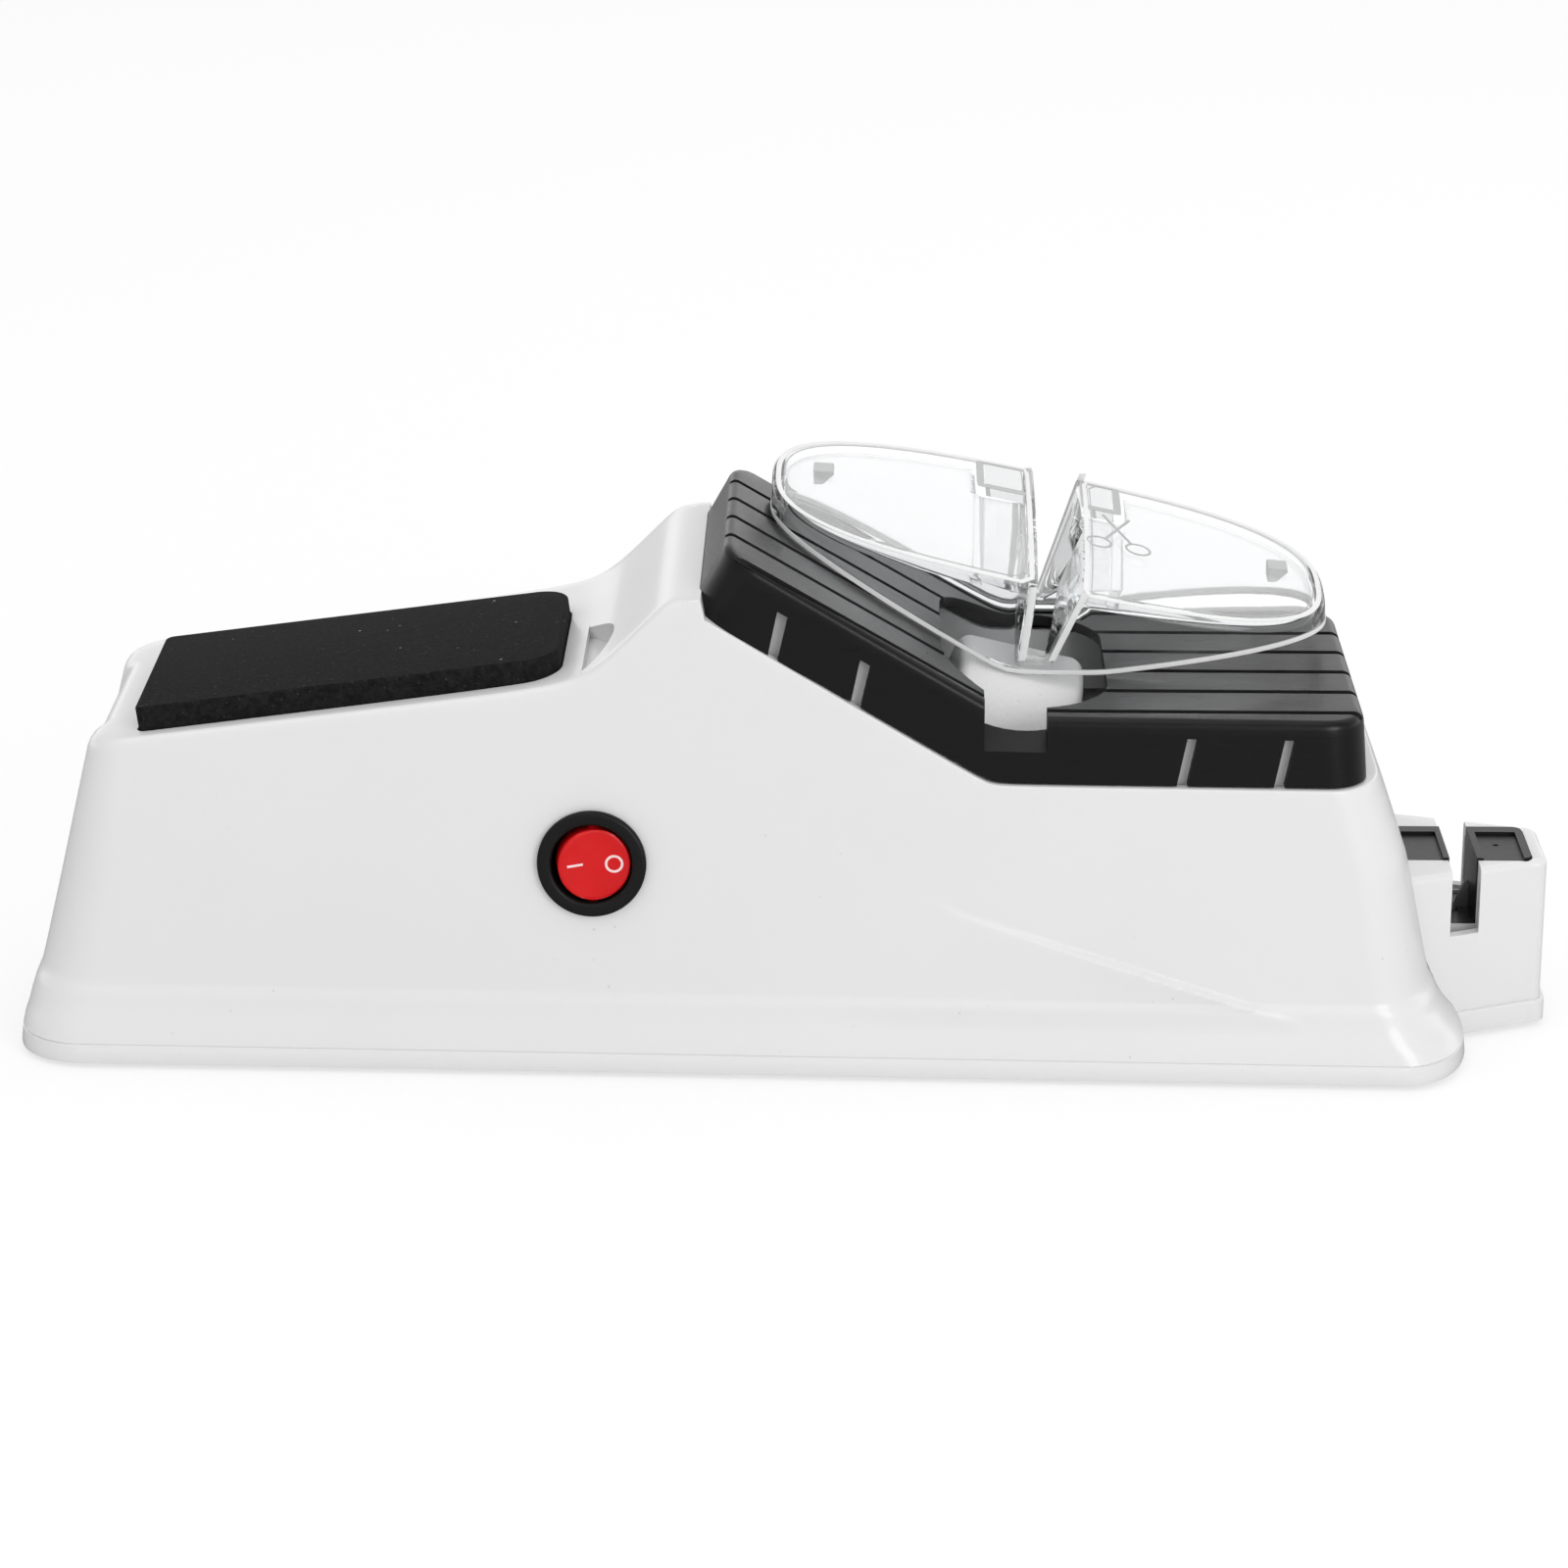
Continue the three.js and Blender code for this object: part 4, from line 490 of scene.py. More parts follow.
def make_casing():
    """The white casing: a wall between two skins, with the stone's tray, the openings and the cap's lip."""
    columns = rounded_columns(340, 14, 30)
    levels = at_heights(FLANGE_ROWS) + at_heights(np.arange(12.1, 30, 0.33)) + climbing(30, 22)
    outer = skin(columns, casing_outline(0), casing_top, levels, casing_fillet, top_rows=12)
    inner = skin(columns, casing_outline(-CASING_WALL), lambda x, y: casing_top(x, y) - CASING_WALL,
                 at_heights((0, 6, 12.4, 17)) + [(17, 0.5), (17, 1)], 0.4, top_rows=4, fillet_rows=2)
    casing = shell("casing", outer, inner)

    def hump_outline(cols, z):
        right = np.interp(z, RIGHT_LEVELS, RIGHT_VALUES) - 2.5
        return wedge_point(cols, -5.6, right, half_width(z, 31.5), 7.0, 1.6)

    hump = closed_skin("hump_cut", skin(
        rounded_columns(40, 8, 12), hump_outline, flat(110), climbing(30, 12), 0.5, top_rows=4))
    tray = stone_slab("tray", 5.4, 4, 8.4, -7.8, -1.2)
    pocket = stone_slab("pocket", 0.6, 1.9, 6.3, -5.4, 14)
    cut(tray, finger_scoop(1.8), operation="UNION")
    cut(tray, closed_skin("casing_solid", outer), operation="INTERSECT")
    cut(casing, tray, operation="UNION")
    cap_room = closed_skin("cap_room", skin(
        rounded_columns(110, 14, 30), cap_outline(0.08), lambda x, y: rim_line(x) + 8,
        climbing(lambda x, y: rim_line(x) - 0.1, 5), 0.3, top_rows=4))
    cut(casing, hump, pocket, finger_scoop(0), cap_room)
    cut(casing, cap_lip(), operation="UNION")
    for place, radius in ((SWITCH_FRAME, 8.0), (JACK_FRAME, 5.9)):
        cut(casing, turned("hole", [[0, -8], [radius, -8], [radius, 6], [0, 6]], 40, place))
    finish_shading(casing, 30)
    return casing


# Black cap
CAP_LEFT, CAP_RIGHT, CAP_CORNER = -7.5, 106.4, 7.0
CAP_INSET = 0.8  # from the casing's face
CAP_WALL, CAP_ROOF, CAP_EDGE = 2.2, 1.8, 1.6
GROOVES, GROOVE_GAP = 6, 11.33
NOTCH_LEFT, NOTCH_RIGHT = 41.5, 52.1
OPENING_X, OPENING_RADIUS, OPENING_RUN = 48.75, 14.25, 12.75
COOLING_SLOTS = (5.9, 19.8, 74.8, 91.1)


def cap_outline(offset):
    """The cap's plan outline at each height, moved out by offset. Its upper left edge leans to the right."""
    def place(columns, z):
        left = CAP_LEFT + np.maximum(0, z - 80.86) / 10.5 * 5.8 - offset
        right = CAP_RIGHT - (z - RIM_LEVEL) / 11.5 * 0.9 + offset
        return wedge_point(columns, left, right, half_width(z) - CAP_INSET + offset, CAP_CORNER + offset, 1.1)
    return place


def cap_lip():
    """The casing's thin lip inside the cap's skirt, which shows through the cooling slots."""
    columns = rounded_columns(60, 10, 14)

    def row(offset, rise):
        points = where_met(cap_outline(offset), columns, lambda x, y: rim_line(x) + rise, 60.0, 6)
        return np.column_stack(points)

    rises = (-3.0, -1.0, 2.0, 8.3)
    rows = [row(-2.5, rise) for rise in rises] + [row(-3.9, rise) for rise in rises[::-1]]
    lip = new_piece("cap_lip", np.concatenate(rows), ring_faces(len(rows), len(columns)))
    cut(lip, block("notch_room", 37, 57, -45, -20, 40, 90))
    return lip


def groove(y, half=0.9, bend=0.35):
    """The body that cuts one groove along the cap's top, with a rounded floor 1.2 mm deep."""
    turns = np.linspace(0, np.pi / 2, 4)
    edge = [[-half + bend * (1 - math.cos(t)), -0.85 - bend * math.sin(t)] for t in turns]
    section = [[half, 6], [-half, 6]] + edge + [[-across, up] for across, up in edge[::-1]]
    stations = np.concatenate([np.linspace(-12, 40, 20), np.linspace(41, 50, 10), np.linspace(52, 111, 20)])
    return loft("groove", [[[x, y + across, cap_line(x) + up] for across, up in section] for x in stations])


def cooling_slot(x, half=0.9, below=4, above=8.2, lean=0.2):
    """The body that cuts one slot through the cap's front and back. It leans to the right, and its top
    follows the cap's slope."""
    rim = rim_line(x)
    slope = HUMP_SLOPE if x < 42 else 0.0
    top = rim + above
    strip = [[x - below * lean - half, rim - below], [x - below * lean + half, rim - below],
             [x + above * lean + half, top - slope * (above * lean + half)],
             [x + above * lean - half, top - slope * (above * lean - half)]]
    return prism("vent", strip, -45, 45, axis="y")


def make_cap():
    """The ribbed cap: a wall between two skins, with six grooves, the wheel's opening, the notch and the
    cooling slots."""
    columns = rounded_columns(110, 14, 30)
    levels = climbing(lambda x, y: rim_line(x), 9)
    outer = skin(columns, cap_outline(0), lambda x, y: cap_line(x), levels, CAP_EDGE, top_rows=8)
    inner = skin(columns, cap_outline(-CAP_WALL), lambda x, y: cap_line(x) - CAP_ROOF, levels, 0.4,
                 top_rows=4, fillet_rows=2)
    cap = shell("cap", outer, inner)
    front, back, foot = -31.2, -24.9, 54
    boss = loft("boss", [[[x, front, foot], [x, back, foot], [x, back, top], [x, front, top]]
                         for x, top in [(x, cap_line(x) - 1) for x in (39.5, 46.8, 54.1)]])
    cut(cap, boss, operation="UNION")
    for k in range(GROOVES):
        cut(cap, groove((k - (GROOVES - 1) / 2) * GROOVE_GAP))
    stadium = []
    for end in (1, -1):
        for turn in np.linspace(0, np.pi, 25):
            x = OPENING_X + end * OPENING_RADIUS * math.cos(turn)
            stadium.append([x, end * OPENING_RUN + end * OPENING_RADIUS * math.sin(turn)])
    notch = loft("notch", [[[x, -40.6, 54.0], [x, -25, 59.9], [x, -25, 100], [x, -40.6, 100]]
                           for x in (NOTCH_LEFT, NOTCH_RIGHT)])
    cut(cap, prism("opening", stadium, 47, 110), notch)
    for x in COOLING_SLOTS:
        cut(cap, cooling_slot(x))
    finish_shading(cap, 24)
    return cap


# Clear cover
DRIVE_FRAME = basis([-math.sin(WHEEL_TILT), 0, -math.cos(WHEEL_TILT)], [0, 1, 0],
                    [math.cos(WHEEL_TILT), 0, -math.sin(WHEEL_TILT)], WHEEL_MIDDLE)
POST_WIDTHS = 7.2, 4.4


def cover_columns(count=180):
    """Columns round the cover: the turn about its middle."""
    return np.linspace(0, 2 * np.pi, count, endpoint=False)


def cover_outline(offset):
    """A superellipse of power COVER_POWER, moved out by offset, drawn in by COVER_DRAFT per millimetre of
    height."""
    def bend(v):
        return np.sign(v) * np.abs(v) ** (2 / COVER_POWER)

    def place(turn, z):
        grow = offset + (COVER_LEVEL - z) * COVER_DRAFT
        return (COVER_X + (COVER_HALF_X + grow) * bend(np.cos(turn)),
                COVER_Y + (COVER_HALF_Y + grow) * bend(np.sin(turn)))
    return place


def cover_roof(x, y):
    """The roof's leaning plane, crowned: it falls by COVER_CROWN towards its edge with the fourth power of
    the distance."""
    share = (np.abs((x - COVER_X) / COVER_HALF_X) ** COVER_POWER
             + np.abs((y - COVER_Y) / COVER_HALF_Y) ** COVER_POWER) ** (1 / COVER_POWER)
    plane = COVER_LEVEL - (x - 50) * COVER_FALL + (y - SLOT_FRONT) * COVER_RISE
    return plane - COVER_CROWN * np.minimum(share, 1.05) ** 4


def cover_foot(x, y):
    """The foot of the cover's wall: 0.3 mm over the cap's top, and climbing off it at the right end."""
    return cap_line(x) + 0.3 + 0.115 * smooth_max(x - 62, 0, 1.0)


def cover_rows(offset, drop, radius, foot_drop):
    """Rows of the cover's skin: a wall from the foot to the roof, an arc, and rows to the roof's middle."""
    columns = cover_columns()
    outline = cover_outline(offset)
    x, y, z = where_met(outline, columns, lambda x, y: cover_roof(x, y) - drop - radius, 80.0)
    foot = where_met(outline, columns, lambda x, y: np.minimum(cover_foot(x, y) - foot_drop, z - 0.5), z)[2]
    rows = []
    for share in np.linspace(0, 1, 10):
        level = foot + (z - foot) * share
        rows.append(np.column_stack([*outline(columns, level), level]))
    x, y = outline(columns, z)
    for t in np.linspace(0, np.pi / 2, 6)[1:]:
        inset = radius * (1 - math.cos(t))
        px, py = x - inset * (x - COVER_X) / COVER_HALF_X, y - inset * (y - COVER_Y) / COVER_HALF_Y
        rows.append(np.column_stack([px, py, cover_roof(px, py) - drop - radius * (1 - math.sin(t))]))
    for share in np.linspace(1, 0, 20)[1:]:
        qx, qy = COVER_X + (px - COVER_X) * share, COVER_Y + (py - COVER_Y) * share
        rows.append(np.column_stack([qx, qy, cover_roof(qx, qy) - drop]))
    return rows


def closed_cover():
    """A solid cover, a little smaller than the outer skin, to trim the parts inside with."""
    rows = cover_rows(-0.6, 0.6, 1.0, -0.2)
    foot = rows[0]
    middle = np.column_stack([np.full(len(foot), COVER_X), np.full(len(foot), COVER_Y),
                              np.full(len(foot), foot[:, 2].mean())])
    return new_piece("cover_solid", np.concatenate([middle] + rows), grid_faces(len(rows) + 1, len(foot)))


def slot_side(side, y, z):
    """Place along X of the knife slot's left (0) or right (1) side: SLOT_X on the cap's top, leaning out with
    height by an amount that changes evenly from the front to the back."""
    front, back = SLOT_LEANS[side]
    lean = front + (back - front) * ((y - SLOT_FRONT) / SLOT_RUN)
    return SLOT_X + side * SLOT_WIDTH + (z - CAP_LEVEL) * lean


POSTS = slot_side(0, SLOT_BACK, 88.6) - 1.5, slot_side(1, SLOT_BACK, 87.2) + 1.5


def slot_body(name, extra, y0, y1, low=58.0, high=104.0):
    """The wedge of the knife slot: its two sides lean apart towards the top and turn a little from front to
    back."""
    rings = []
    for y in np.linspace(y0, y1, 13):
        up = [[slot_side(0, y, z) - extra, y, z] for z in np.linspace(low, high, 7)]
        down = [[slot_side(1, y, z) + extra, y, z] for z in np.linspace(high, low, 7)]
        rings.append(up + down)
    return loft(name, rings)


def make_cover():
    """The clear cover: a wall between two skins, with the slot's walls, two hollow posts and room for the
    wheel."""
    cover = shell("dust_cover", cover_rows(0, 0, 1.4, 0), cover_rows(-COVER_WALL, COVER_WALL, 0.8, 0))
    walls = slot_body("slot_walls", 1.5, -14, 38)
    cut(walls, closed_cover(), operation="INTERSECT")
    (left, right), (left_width, right_width) = POSTS, POST_WIDTHS
    posts = block("post", left - left_width - COVER_WALL, left + 1.2, 21.2, 32.5, 60, 100)
    right_post = block("post", right - 1.2, right + right_width + COVER_WALL, 21.2, 32.5, 60, 100)
    cut(posts, right_post, operation="UNION")
    cut(posts, closed_cover(), operation="INTERSECT")
    cut(cover, walls, posts, operation="UNION")
    for x0, x1 in ((left - left_width, left - 0.1), (right + 0.1, right + right_width)):
        cut(cover, block("window", x0, x1, 23.0, 31.0, 58, 104))
    cut(cover, slot_body("slot", 0, -16, 40, low=65.9))
    cut(cover, slot_body("slot", 0, -6.4, 30.8, low=57.0, high=70.0))
    radius, half = WHEEL_RADIUS + WHEEL_GAP, WHEEL_HALF + WHEEL_GAP
    wheel_room = [[0, -half], [radius, -half], [radius, half], [0, half]]
    cut(cover, turned("wheel_room", wheel_room, 96, DRIVE_FRAME))
    return cover


# Block for sharpening by hand
BLOCK_START, BLOCK_FLAT, BLOCK_END = 108.0, 110, 138.4


def block_side(x, side):
    """Place along Y of the block's front (-1) or back (1) face, which both run straight and draw together."""
    return -19.2 + (x - 116) * 0.4509 if side < 0 else 16.4 - (x - 116) * 0.3259


def block_columns():
    """Points round the block: along its front, round both corners, and along its back to the casing."""
    run = np.concatenate([[BLOCK_START], np.linspace(BLOCK_FLAT, BLOCK_END, 30)])
    quarter = np.linspace(0, np.pi / 2, 9)
    corners = [np.column_stack([BLOCK_END + 2.4 * np.cos(turn), side * 6.7 + 2.4 * np.sin(turn)])
               for side, turn in ((-1, quarter[1:] - np.pi / 2), (1, quarter[:-1]))]
    return np.concatenate([np.column_stack([run, block_side(run, -1)]), *corners,
                           np.column_stack([run, block_side(run, 1)])[::-1]])


def block_body(name, offset, low, high, ease):
    """The block from foot to top, moved out by offset, its outline drawn in by an arc at the top edge."""
    plan = block_columns()
    ahead = np.roll(plan, -1, 0) - np.roll(plan, 1, 0)
    out = np.column_stack([ahead[:, 1], -ahead[:, 0]])
    out /= np.linalg.norm(out, axis=1, keepdims=True)
    out[0], out[-1] = [0, -1], [0, 1]
    return loft(name, [np.column_stack([plan + out * (offset - inset), np.full(len(plan), z)])
                       for inset, z in [(0, low)] + eased_top(high, ease)])


def make_block():
    """The white block: a wall with a lip at its foot, the gate for the blade and the insert's room."""
    wall = 2
    ceiling = BLOCK_HEIGHT - wall
    housing = block_body("hand_block", 0, 0, BLOCK_HEIGHT, 1.2)
    cut(housing, block_body("block_lip", 0.8, 0, 4.0, 0.5), operation="UNION")
    cut(housing, block_body("block_hollow", -wall, -4, ceiling, 0.4))
    gate_wall = block("gate_wall", GATE_X - wall, GATE_X + GATE_WIDTH + wall, -9.4, 8.2, 7.2, ceiling)
    cut(housing, gate_wall, operation="UNION")
    cut(housing, block("gate", GATE_X, GATE_X + GATE_WIDTH, -30, 30, 18.2, 34))
    insert_room = rounded_slab("insert_room", 30.2, 17.0, 0.3, 1.9, 7.7, 34)
    cut(housing, moved_by(insert_room, lifted(123.1, -0.6, 0)), casing_room(0.05))
    finish_shading(housing, 25)
    eased(housing, 0.35, 50)
    return housing


def make_insert():
    """The black insert: a slab with two sunk tops, the gate, a dimple and room for the two blades."""
    body = moved_by(rounded_slab("edge_holder", 27.9, 16.4, 0.3, 1.7, 8, 30.3), lifted(123.95, -0.6, 0))
    for low, high in ((108, 122.5), (129.5, 136.6)):
        cut(body, block("sunk_top", low, high, -9.5, 4.8, 29.7, 31))
    gate = block("gate", GATE_X + 0.2, GATE_X + GATE_WIDTH - 0.2, -30, 30, 17.8, 34)
    cut(body, gate, casing_room(0.6))
    for side in (-1, 1):
        blade_room = block("blade_room", -2.0, 2.0, -0.9, 0.9, -4.8, 4.8)
        place = [125.95 + side * 1.7, side * 0.8, 17.8]
        cut(body, moved_by(blade_room, tipped(side * math.radians(20), place)))
    dimple = turned("dimple", [[0, -0.45], [0.45, -0.3], [0.6, 0.5], [0, 0.5]], 20)
    cut(body, moved_by(dimple, lifted(132.6, -0.5, 29.7)))
    finish_shading(body, 20)
    eased(body, 0.22, 50)
    return body


# Materials
def operator(operation, reflected=False):
    """A Python operator on shader sockets, which adds the Math node for it."""
    def apply(value, other):
        return value.nodes.maths(operation, *((other, value) if reflected else (value, other)))
    return apply


class Value:
    """A shader socket with Python's operators."""

    def __init__(self, nodes, socket):
        self.nodes, self.socket = nodes, socket

    __add__ = operator("ADD")
    __radd__ = operator("ADD", reflected=True)
    __sub__ = operator("SUBTRACT")
    __rsub__ = operator("SUBTRACT", reflected=True)
    __mul__ = operator("MULTIPLY")
    __rmul__ = operator("MULTIPLY", reflected=True)
    __gt__ = operator("GREATER_THAN")


class Nodes:
    """The nodes of one tree, from empty."""

    def __init__(self, tree):
        self.tree = tree
        tree.nodes.clear()

    def node(self, kind, settings=None, values=None, output=0):
        """Adds a node of a type, sets its settings first and then the values or links of its sockets."""
        node = self.tree.nodes.new(kind)
        for key, value in (settings or {}).items():
            setattr(node, key, value)
        for key, value in (values or {}).items():
            if isinstance(value, Value):
                self.tree.links.new(value.socket, node.inputs[key])
            else:
                node.inputs[key].default_value = value
        return Value(self, node.outputs[output] if len(node.outputs) else None)

    def maths(self, operation, *values):
        """Adds a Math node."""
        return self.node("ShaderNodeMath", dict(operation=operation), dict(enumerate(values)))

    def part(self, vector, axis):
        """One part of a vector, by its axis."""
        return self.node("ShaderNodeSeparateXYZ", {}, {0: vector}, axis)

    def within(self, value, low, high, to_low=0.0, to_high=1.0):
        """Carries a value evenly from one range to another, and no further."""
        return self.node("ShaderNodeMapRange", {}, {"Value": value, "From Min": low, "From Max": high,
                                                    "To Min": to_low, "To Max": to_high})

    def mix_shaders(self, factor, first, second):
        """Adds a Mix Shader."""
        return self.node("ShaderNodeMixShader", {}, {0: factor, 1: first, 2: second})

    def ray_kinds(self):
        """1 for mirrored rays, and 1 for rays that reach the camera straight or through clear plastic."""
        def path(name):
            return self.node("ShaderNodeLightPath", output=name)
        glossy = path("Glossy Depth") > 0.5
        diffuse = path("Diffuse Depth") > 0.5
        seen = self.maths("MAXIMUM", path("Is Camera Ray"), path("Is Transmission Ray"))
        return glossy, seen * (1.0 - glossy) * (1.0 - diffuse)


class Sheet(Nodes):
    """One material's nodes round its Principled shader."""

    def __init__(self, name, **constants):
        self.material = bpy.data.materials.new(name)
        self.material.use_nodes = True
        super().__init__(self.material.node_tree)
        self.place = self.node("ShaderNodeTexCoord", output="Object")
        self.shader = self.principled(**constants)
        self.show(self.shader)

    def show(self, shader):
        """Makes a shader the one that the material shows."""
        for node in [n for n in self.tree.nodes if n.type == "OUTPUT_MATERIAL"]:
            self.tree.nodes.remove(node)
        self.node("ShaderNodeOutputMaterial", {}, {"Surface": shader})

    def principled(self, **constants):
        """Adds a Principled shader."""
        return self.node("ShaderNodeBsdfPrincipled", {},
                         {key.replace("_", " "): value for key, value in constants.items()})

    def noise(self, scale, detail=3.0, roughness=0.55, place=None):
        """Noise of a number of grains per metre."""
        return self.node("ShaderNodeTexNoise", {}, {"Vector": place or self.place, "Scale": scale,
                                                    "Detail": detail, "Roughness": roughness})

    def cells(self, scale):
        """Distance to the middle of the nearest of a number of cells per metre."""
        return self.node("ShaderNodeTexVoronoi", {}, {"Vector": self.place, "Scale": scale}, "Distance")

    def middle(self, value, low, high):
        """Carries the middle range of a noise to a range of roughness."""
        return self.within(value, 0.3, 0.7, low, high)

    def blend(self, factor, first, second):
        """Mixes two colours by a factor."""
        first, second = (v if isinstance(v, Value) else (*v, 1) for v in (first, second))
        return self.node("ShaderNodeMix", dict(data_type="RGBA"), {0: factor, 6: first, 7: second}, 2)

    def feed(self, shader=None, **links):
        """Links values to the sockets of a shader."""
        node = (shader or self.shader).socket.node
        for key, value in links.items():
            self.tree.links.new(value.socket, node.inputs[key.replace("_", " ")])
        return self

    def bump(self, height, distance, strength):
        """Relief of a height field, its distance in millimetres."""
        values = {"Height": height, "Distance": distance / 1000, "Strength": strength}
        return self.feed(Normal=self.node("ShaderNodeBump", {}, values))


def grey(value):
    """A linear colour from a grey or a colour as it is seen on screen, 0 to 255."""
    seen = np.atleast_1d(np.array(value, float)) / 255
    linear = np.where(seen <= 0.04045, seen / 12.92, ((seen + 0.055) / 1.055) ** 2.4)
    return tuple(np.broadcast_to(linear, 3).tolist())


def plain(name, dark, light, cloud, gloss, relief=None, **constants):
    """A plain material. Its colour drifts between two over the noise cloud (scale, detail), its roughness
    lies between two values over the noise gloss (scale, detail, low, high), and relief (scale, distance in
    millimetres, strength) is its grain."""
    sheet = Sheet(name, **constants)
    sheet.feed(Base_Color=sheet.blend(sheet.noise(*cloud), grey(dark), grey(light)),
               Roughness=sheet.middle(sheet.noise(*gloss[:2]), *gloss[2:]))
    if relief:
        sheet.bump(sheet.noise(relief[0], 2), *relief[1:])
    return sheet.material


def white_plastic():
    """Glossy white with rare specks of dust."""
    sheet = Sheet("white_moulded_plastic", IOR=1.5, Coat_Weight=0.25, Coat_Roughness=0.08)
    base = sheet.blend(sheet.noise(18, 2), grey(229), grey(233))
    dust = sheet.within(sheet.cells(260), 0.075, 0.05) * sheet.within(sheet.noise(45, 1), 0.55, 0.62)
    sheet.feed(Base_Color=sheet.blend(dust * 0.4, base, grey(190)),
               Roughness=sheet.within(sheet.noise(30, 1), 0.0, 1.0, 0.27, 0.35))
    return sheet.bump(sheet.noise(1400, 2), 0.012, 0.4).material


def black_plastic():
    """Satin black with faint scuffs."""
    sheet = Sheet("black_satin_plastic", IOR=1.5, Specular_IOR_Level=0.3)
    base = sheet.blend(sheet.noise(40, 3), grey(22), grey(28))
    scuff = sheet.within(sheet.noise(260, 5, 0.7), 0.62, 0.72)
    sheet.feed(Base_Color=sheet.blend(scuff * 0.25, base, grey(50)),
               Roughness=sheet.middle(sheet.noise(90, 3), 0.34, 0.5) + scuff * 0.12)
    return sheet.bump(sheet.noise(4200, 2), 0.03, 0.6).material


def ribbed_plastic():
    """The cap's black: the crests of its ribs are brushed along X and painted a lighter grey, a painted
    sheen over their grain, while its skirt, its grooves and the floor of its notch stay dark."""
    sheet = Sheet("black_ribbed_plastic", IOR=1.5, Specular_IOR_Level=0.4)
    stretched = sheet.node("ShaderNodeMapping", {}, {"Vector": sheet.place, "Scale": (0.06, 1.0, 1.0)})
    brushed = sheet.noise(2600, 3, 0.6, stretched)
    across = sheet.part(sheet.place, "X") * 1000 - SHIFT[0]
    height = sheet.part(sheet.place, "Z") * 1000 - SHIFT[2]
    top = sheet.maths("MAXIMUM", CAP_BEND - across, 0.0) * HUMP_SLOPE + CAP_LEVEL
    crest = sheet.within(height - top, -0.8, -0.2)
    base = sheet.blend(sheet.noise(50, 3), grey(18), grey(23))
    # Painted sheen: the rib crests get a lighter grey than the base, with the brushed grain in it.
    crest_sheen = sheet.blend(brushed, grey(24), grey(44))
    sheet.feed(Base_Color=sheet.blend(crest, base, crest_sheen), Roughness=sheet.middle(brushed, 0.27, 0.38))
    return sheet.bump(brushed * crest + sheet.noise(4200, 2) * 0.4, 0.02, 0.5).material


def clear_plastic():
    """Clear moulded plastic; the roof is lightly frosted, the walls stay clear, and faint flow lines bend the
    light."""
    sheet = Sheet("clear_moulded_plastic", Base_Color=(0.93, 0.94, 0.945, 1), Roughness=0.05, IOR=1.14,
                  Coat_Weight=0.8, Coat_Roughness=0.06, Transmission_Weight=1.0)
    sheet.bump(sheet.noise(140, 2), 0.04, 0.5)
    frosted = sheet.principled(IOR=1.4)
    sheet.feed(frosted, Base_Color=sheet.blend(sheet.noise(30, 2), grey(246), grey(252)),
               Roughness=sheet.middle(sheet.noise(120, 3), 0.3, 0.42))
    up = sheet.part(sheet.node("ShaderNodeNewGeometry", output="Normal"), "Z")
    mist = sheet.within(up, 0.8, 0.93) * sheet.within(sheet.noise(14, 2), 0.35, 0.65, 0.1, 0.18)
    sheet.show(sheet.mix_shaders(mist, sheet.shader, frosted))
    return sheet.material


def ceramic():
    """Bonded grit: fine grains, faint dark specks, and light dust."""
    sheet = Sheet("white_bonded_ceramic", IOR=1.45)
    grit = sheet.cells(2600)
    fine = sheet.noise(3500, 4, 0.7)
    base = sheet.blend(fine, grey(226), grey(243))
    dark = sheet.within(sheet.noise(1400, 3), 0.66, 0.74)
    sheet.feed(Base_Color=sheet.blend(dark * 0.35, base, grey(150)), Roughness=sheet.middle(fine, 0.8, 0.95))
    return sheet.bump(grit * 0.5 + fine * 0.5, 0.12, 0.8).material


def black_stone():
    """Sintered stone: fine dark grain with scattered pale grains."""
    sheet = Sheet("black_sharpening_stone", IOR=1.45, Specular_IOR_Level=0.25)
    fine = sheet.noise(950, 5, 0.85)
    base = sheet.blend(sheet.within(fine, 0.35, 0.65), grey(6), grey(36))
    pale = sheet.within(sheet.noise(1900, 2, 0.4), 0.7, 0.76)
    spot = sheet.within(sheet.cells(330), 0.1, 0.06) * sheet.within(sheet.noise(150, 1), 0.55, 0.62)
    sheet.feed(Base_Color=sheet.blend(spot * 0.6, sheet.blend(pale * 0.4, base, grey(110)), grey(200)),
               Roughness=sheet.middle(fine, 0.78, 0.95))
    return sheet.bump(fine * 0.6 + sheet.cells(2400) * 0.4, 0.1, 0.8).material


def metal(name, light, dark, scale):
    """Metal with fine tool marks drawn out along one axis, and faint tarnish."""
    sheet = Sheet(name, Metallic=1.0)
    drawn = sheet.node("ShaderNodeMapping", {}, {"Vector": sheet.place, "Scale": scale})
    marks = sheet.noise(3000, 3, 0.6, drawn)
    tarnish = sheet.within(sheet.noise(120, 4, 0.6), 0.5, 0.75)
    sheet.feed(Base_Color=sheet.blend(tarnish * 0.5, grey(light), grey(dark)),
               Roughness=sheet.middle(marks, 0.22, 0.38) + tarnish * 0.1)
    return sheet.bump(marks, 0.01, 0.5).material


